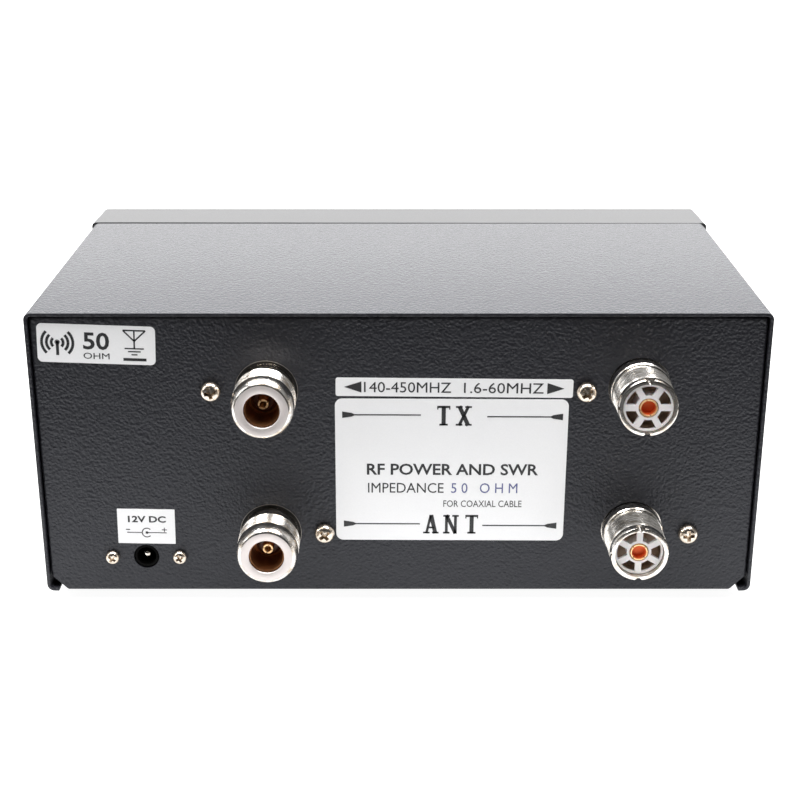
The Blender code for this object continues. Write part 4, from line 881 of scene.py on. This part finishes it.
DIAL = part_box("meter_dial")[0].y / MM
POWER_ARC, SWR_ARC, SWING_DEG = 37.0, 31.0, 45
pivot = front_centre("zero_adjuster")
bm = bmesh.new()
ink_arc(bm, pivot, POWER_ARC, -SWING_DEG, SWING_DEG, 0.30, 48)
for index in range(51):
    turn = -SWING_DEG + 2 * SWING_DEG * index / 50
    height, width = (2.4, 0.30) if index % 5 == 0 else (1.2, 0.18)
    stroke(bm, on_circle(pivot, POWER_ARC, turn), on_circle(pivot, POWER_ARC + height, turn), width)
for index, text in enumerate(("0", "2", "4", "6", "8", "10")):
    words(bm, text, *on_circle(pivot, POWER_ARC + 4.4, -SWING_DEG + 18 * index), 2.4, weight=0.01)
ink_arc(bm, pivot, SWR_ARC, -SWING_DEG, SWING_DEG, 0.24, 48)
for ratio, text in ((1.0, "1"), (1.5, "1.5"), (2.0, "2"), (3.0, "3"), (5.0, "5"), (20.0, "")):
    turn = -SWING_DEG + 2 * SWING_DEG * (ratio - 1) / (ratio + 1)
    stroke(bm, on_circle(pivot, SWR_ARC, turn), on_circle(pivot, SWR_ARC - 1.8, turn), 0.24)
    if text:
        words(bm, text, *on_circle(pivot, SWR_ARC - 4.0, turn), 2.0)
words(bm, "POWER  W", pivot[0] - 31, pivot[1] + 12.5, 2.2, weight=0.01)
words(bm, "SWR", pivot[0] + 31, pivot[1] + 12.5, 2.2, weight=0.01)
printed(bm, "dial_print", facing_front(DIAL), label_ink)
red_ink = finish("red_ink", (0.55, 0.03, 0.02), 0.5)
shade(red_ink, "Roughness", ranged(red_ink, noise(red_ink, place_of(red_ink), 0.2), 0.42, 0.6))
bm = bmesh.new()
ink_arc(bm, pivot, SWR_ARC + 0.8, 0, SWING_DEG, 0.9, 24)
printed(bm, "dial_red_band", facing_front(DIAL), red_ink)

pointer_paint = finish("pointer_red", (0.50, 0.03, 0.02), 0.4)
grained(pointer_paint, 0.2, 0.01)
refined("meter_pointer", pointer_paint, "meter_movement")
wound_copper = finish("wound_copper", (0.70, 0.30, 0.12), 0.28, 1.0)
bumped(wound_copper, noise(wound_copper, place_of(wound_copper, (1, 5, 5)), 0.5), 0.05)
refined("meter_coil", wound_copper, "meter_movement")

adjuster_plastic = finish("adjuster_plastic", (0.014, 0.014, 0.015), 0.32)
grained(adjuster_plastic, 0.3, 0.01)
at, front, back = axis_of("zero_adjuster")
cap = [(0, front), (1.9, front), (2.3, front + 0.12), (2.46, front + 0.45), (2.46, back), (0, back)]
slot = bmesh.new()
block(slot, (-3, front - 1, -0.35), (3, front + 0.8, 0.35))
cap = carved(turned(cap, 48), slot)
cap = moved(cap, at)
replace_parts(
    shown(cap, "adjuster_cap", adjuster_plastic, "zero_adjuster"), "zero_adjuster"
)


# ---------------------------------------------------------------- knobs
# Three black moulded knobs with a skirt, a ribbed grip and a spun aluminium inlay, pushed
# onto their spindles. White marks on the face and skirt show where each one points.

knob_plastic = finish("knob_plastic", (0.012, 0.012, 0.013), 0.36)
knob_skin = noise(knob_plastic, place_of(knob_plastic), 0.25, 2.0)
shade(knob_plastic, "Roughness", ranged(knob_plastic, knob_skin, 0.32, 0.44))
bumped(knob_plastic, knob_skin, 0.012)
spun_aluminium = finish("spun_aluminium", (0.34, 0.34, 0.35), 0.34, 1.0)
spin_marks = noise(spun_aluminium, place_of(spun_aluminium), 0.15, 2.0)
shade(spun_aluminium, "Roughness", ranged(spun_aluminium, spin_marks, 0.28, 0.44))
bumped(spun_aluminium, spin_marks, 0.01)

RIBS = 36
SPINDLE_END = -60.5
for name, line_deg in (("function_knob", -30), ("range_knob", -30), ("calibration_knob", 0)):
    at, front, back = axis_of(name)
    low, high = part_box(name)
    radius = (high.x - low.x) / 2 / MM
    skirt = FASCIA - 0.8
    grip = radius * 0.82
    profile = [(0, front + 0.25), (grip * 0.80, front + 0.25), (grip * 0.83, front + 0.02)]
    profile += [(grip * 0.90, front), (grip * 0.97, front + 0.3), (grip, front + 0.9)]
    profile += [(grip * 1.02, skirt - 3.6), (radius * 0.90, skirt - 3.2), (radius * 0.985, skirt - 2.2)]
    profile += [(radius, skirt - 1.6), (radius, skirt), (3.8, skirt), (3.8, SPINDLE_END)]
    profile += [(2.6, SPINDLE_END), (2.6, back), (0, back)]
    cap = turned(profile, RIBS * 4)
    for vert in cap.verts:
        depth = vert.co.y / MM
        if front + 0.2 < depth < skirt - 3.5 and math.hypot(vert.co.x, vert.co.z) > grip * 0.95 * MM:
            place = round(math.atan2(vert.co.z, vert.co.x) / math.tau * RIBS * 4)
            if place % 4 == 0:
                vert.co.x *= 0.95
                vert.co.z *= 0.95
    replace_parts(shown(moved(cap, at), f"{name}_cap", knob_plastic, name, 30), name)
    inlay = [(0, front + 0.06), (grip * 0.76, front + 0.06), (grip * 0.78, front + 0.12)]
    inlay = turned(inlay + [(grip * 0.78, front + 0.24), (0, front + 0.24)], 64)
    shown(moved(inlay, at), f"{name}_inlay", spun_aluminium, name)
    mark = bmesh.new()
    block(mark, (-0.35, front + 0.02, grip * 0.50), (0.35, front + 0.10, grip * 0.84))
    block(mark, (-0.35, skirt - 3.05, radius * 0.90), (0.35, skirt - 1.7, radius * 0.985))
    shown(moved(spun(mark, line_deg), at), f"{name}_line", white_ink, name)


# ---------------------------------------------------------------- toggle and push switches
# The toggle has a threaded nickel bushing with a hex nut on the fascia and a chromed lever.
# Each push switch has a black cap with a dished face in a nickel ring.

chrome = finish("chrome_plate", (0.82, 0.83, 0.84), 0.06, 1.0)
grained(chrome, 2.0, 0.006)
phenolic = finish("black_phenolic", (0.012, 0.011, 0.010), 0.42)
grained(phenolic, 0.3, 0.02)

BODY_FRONT, BODY_BACK = -54.2, -43.5
at, front, back = axis_of("toggle_switch")
body = bmesh.new()
block(body, (-4.2, BODY_FRONT, -6.6), (4.2, BODY_BACK, 6.6))
eased(body, 0.4 * MM)
for row in (-4.5, 0, 4.5):
    block(body, (-1.2, BODY_BACK - 0.1, row - 0.4), (1.2, BODY_BACK + 4.0, row + 0.4))
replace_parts(shown(moved(body, at), "toggle_body", phenolic, "case"), "toggle_switch")
bushing = [(3.1, front + 0.3), (3.3, front), (3.7, front)]
bushing += [(radius, 2 * front - y) for radius, y in thread(front - 0.25, front - 4.9, 0.3, 4.0, 0.75)]
bushing += [(3.7, BODY_FRONT + 0.1), (3.1, BODY_FRONT + 0.1)]
shown(moved(turned(bushing, 64, True), at), "toggle_bushing", nickel, "case", 28)
nut = bmesh.new()
bmesh.ops.create_cone(nut, cap_ends=True, segments=6, radius1=5.6 * MM, radius2=5.6 * MM, depth=1.6 * MM)
spun(nut, 90, "X")
bmesh.ops.translate(nut, verts=nut.verts, vec=(0, (FASCIA - 0.9) * MM, 0))
eased(nut, 0.25 * MM)
hole = turned([(4.05, FASCIA - 3), (4.05, FASCIA + 1), (0, FASCIA + 1), (0, FASCIA - 3)], 48)
bmesh.ops.recalc_face_normals(nut, faces=nut.faces)
nut = carved(nut, hole)
shown(moved(nut, at), "toggle_nut", nickel, "case", 30)

at, front, back = axis_of("toggle_lever")
lever = [(0, front), (0.75, front + 0.12), (1.40, front + 0.55), (1.80, front + 1.25)]
lever += [(1.88, front + 2.2), (1.70, front + 4.4), (1.45, front + 7.2), (1.22, front + 10.0)]
lever += [(1.18, FASCIA - 2.4), (1.25, FASCIA - 1.7), (1.55, FASCIA - 0.9), (1.78, FASCIA)]
lever += [(1.55, FASCIA + 0.9), (0.9, FASCIA + 1.55), (0, FASCIA + 1.78)]
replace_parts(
    shown(moved(turned(lever, 40), at), "toggle_bat", chrome, "toggle_lever", 50), "toggle_lever"
)

for switch in ("sensor", "peak"):
    at, front, back = axis_of(f"{switch}_button")
    cap = [(0, front + 0.35), (1.6, front + 0.28), (2.8, front + 0.08), (3.3, front), (3.7, front + 0.12)]
    cap += [(3.95, front + 0.5), (3.97, FASCIA + 1.5), (1.5, FASCIA + 1.5), (1.5, back), (0, back)]
    cap = moved(turned(cap, 64), at)
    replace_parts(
        shown(cap, f"{switch}_cap", knob_plastic, f"{switch}_button", 40),
        f"{switch}_button",
    )
    ring = [(4.25, FASCIA - 0.02), (4.25, FASCIA - 0.7), (4.45, FASCIA - 0.95), (4.9, FASCIA - 0.95)]
    ring += [(5.35, FASCIA - 0.5), (5.4, FASCIA - 0.02)]
    shown(moved(turned(ring, 64, True), at), f"{switch}_ring", nickel, "case", 30)


# ---------------------------------------------------------------- feet
# Four round rubber feet under the floor, each moulded with a recess in its middle for the
# screw that holds it.

foot_rubber = finish("foot_rubber", (0.020, 0.020, 0.021), 0.85)
grained(foot_rubber, 0.3, 0.04, 3.0)
for name in ("foot_front_left", "foot_front_right", "foot_rear_left", "foot_rear_right"):
    low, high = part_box(name)
    at = ((low.x + high.x) / 2, (low.y + high.y) / 2, 0)
    top = high.z / MM
    side = [(0, 1.6), (2.4, 1.6), (2.6, 0.15), (2.9, 0), (5.3, 0), (5.7, 0.12), (5.95, 0.45)]
    side += [(6.2, top - 1.1), (6.7, top - 0.7), (6.75, top), (0, top)]
    pad = moved(turned(side, 48), at, Matrix.Rotation(math.radians(90), 4, "X"))
    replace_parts(shown(pad, f"{name}_pad", foot_rubber, "case"), name)


# ---------------------------------------------------------------- pieces inside the case
# Tinplate coupler boxes and copper lines, glass-fibre boards, moulded switch bodies, the
# meter's magnet and core, the wound toroid and the laced loom keep their solid shapes.

tinplate = finish("tinplate", (0.58, 0.58, 0.56), 0.34, 1.0)
spangle = noise(tinplate, place_of(tinplate), 3.0, 3.0)
shade(tinplate, "Base Color", mixed(tinplate, spangle, (0.64, 0.64, 0.62), (0.48, 0.48, 0.46)))
shade(tinplate, "Roughness", ranged(tinplate, spangle, 0.26, 0.44))
bare_copper = finish("bare_copper", (0.72, 0.32, 0.17), 0.30, 1.0)
dulling = noise(bare_copper, place_of(bare_copper), 1.5, 3.0)
shade(bare_copper, "Base Color", mixed(bare_copper, dulling, (0.76, 0.36, 0.20), (0.48, 0.20, 0.11)))
glass_fibre = finish("green_glass_fibre", (0.03, 0.16, 0.07), 0.40)
weave = noise(glass_fibre, place_of(glass_fibre), 0.5, 2.0)
shade(glass_fibre, "Base Color", mixed(glass_fibre, weave, (0.022, 0.13, 0.055), (0.045, 0.20, 0.09)))
bumped(glass_fibre, weave, 0.03)
magnet_steel = finish("magnet_steel", (0.30, 0.30, 0.31), 0.45, 1.0)
grained(magnet_steel, 0.4, 0.03)
grey_ferrite = finish("grey_ferrite", (0.06, 0.06, 0.07), 0.6)
grained(grey_ferrite, 0.4, 0.05)
wire_sleeving = finish("wire_sleeving", (0.014, 0.014, 0.015), 0.5)
grained(wire_sleeving, 0.8, 0.05)
case_plastic = finish("meter_case_plastic", (0.014, 0.014, 0.015), 0.42)
grained(case_plastic, 0.4, 0.03)

INSIDE = (
    (tinplate, ("hf_coupler_case", "hf_coupler_lid", "uhf_coupler_case", "uhf_coupler_lid")),
    (bare_copper, ("hf_coupler_line", "uhf_coupler_line")),
    (glass_fibre, ("hf_detector_board", "uhf_detector_board", "main_board", "meter_lamp")),
    (magnet_steel, ("meter_magnet", "meter_core")),
    (grey_ferrite, ("hf_coupler_toroid",)),
    (wire_sleeving, ("wiring_loom",)),
    (case_plastic, ("meter_case",)),
    (phenolic, ("function_switch", "range_switch", "calibration_potentiometer")),
    (phenolic, ("sensor_switch", "peak_switch")),
)
for material, names in INSIDE:
    for name in names:
        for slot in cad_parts[name].material_slots:
            slot.material = material
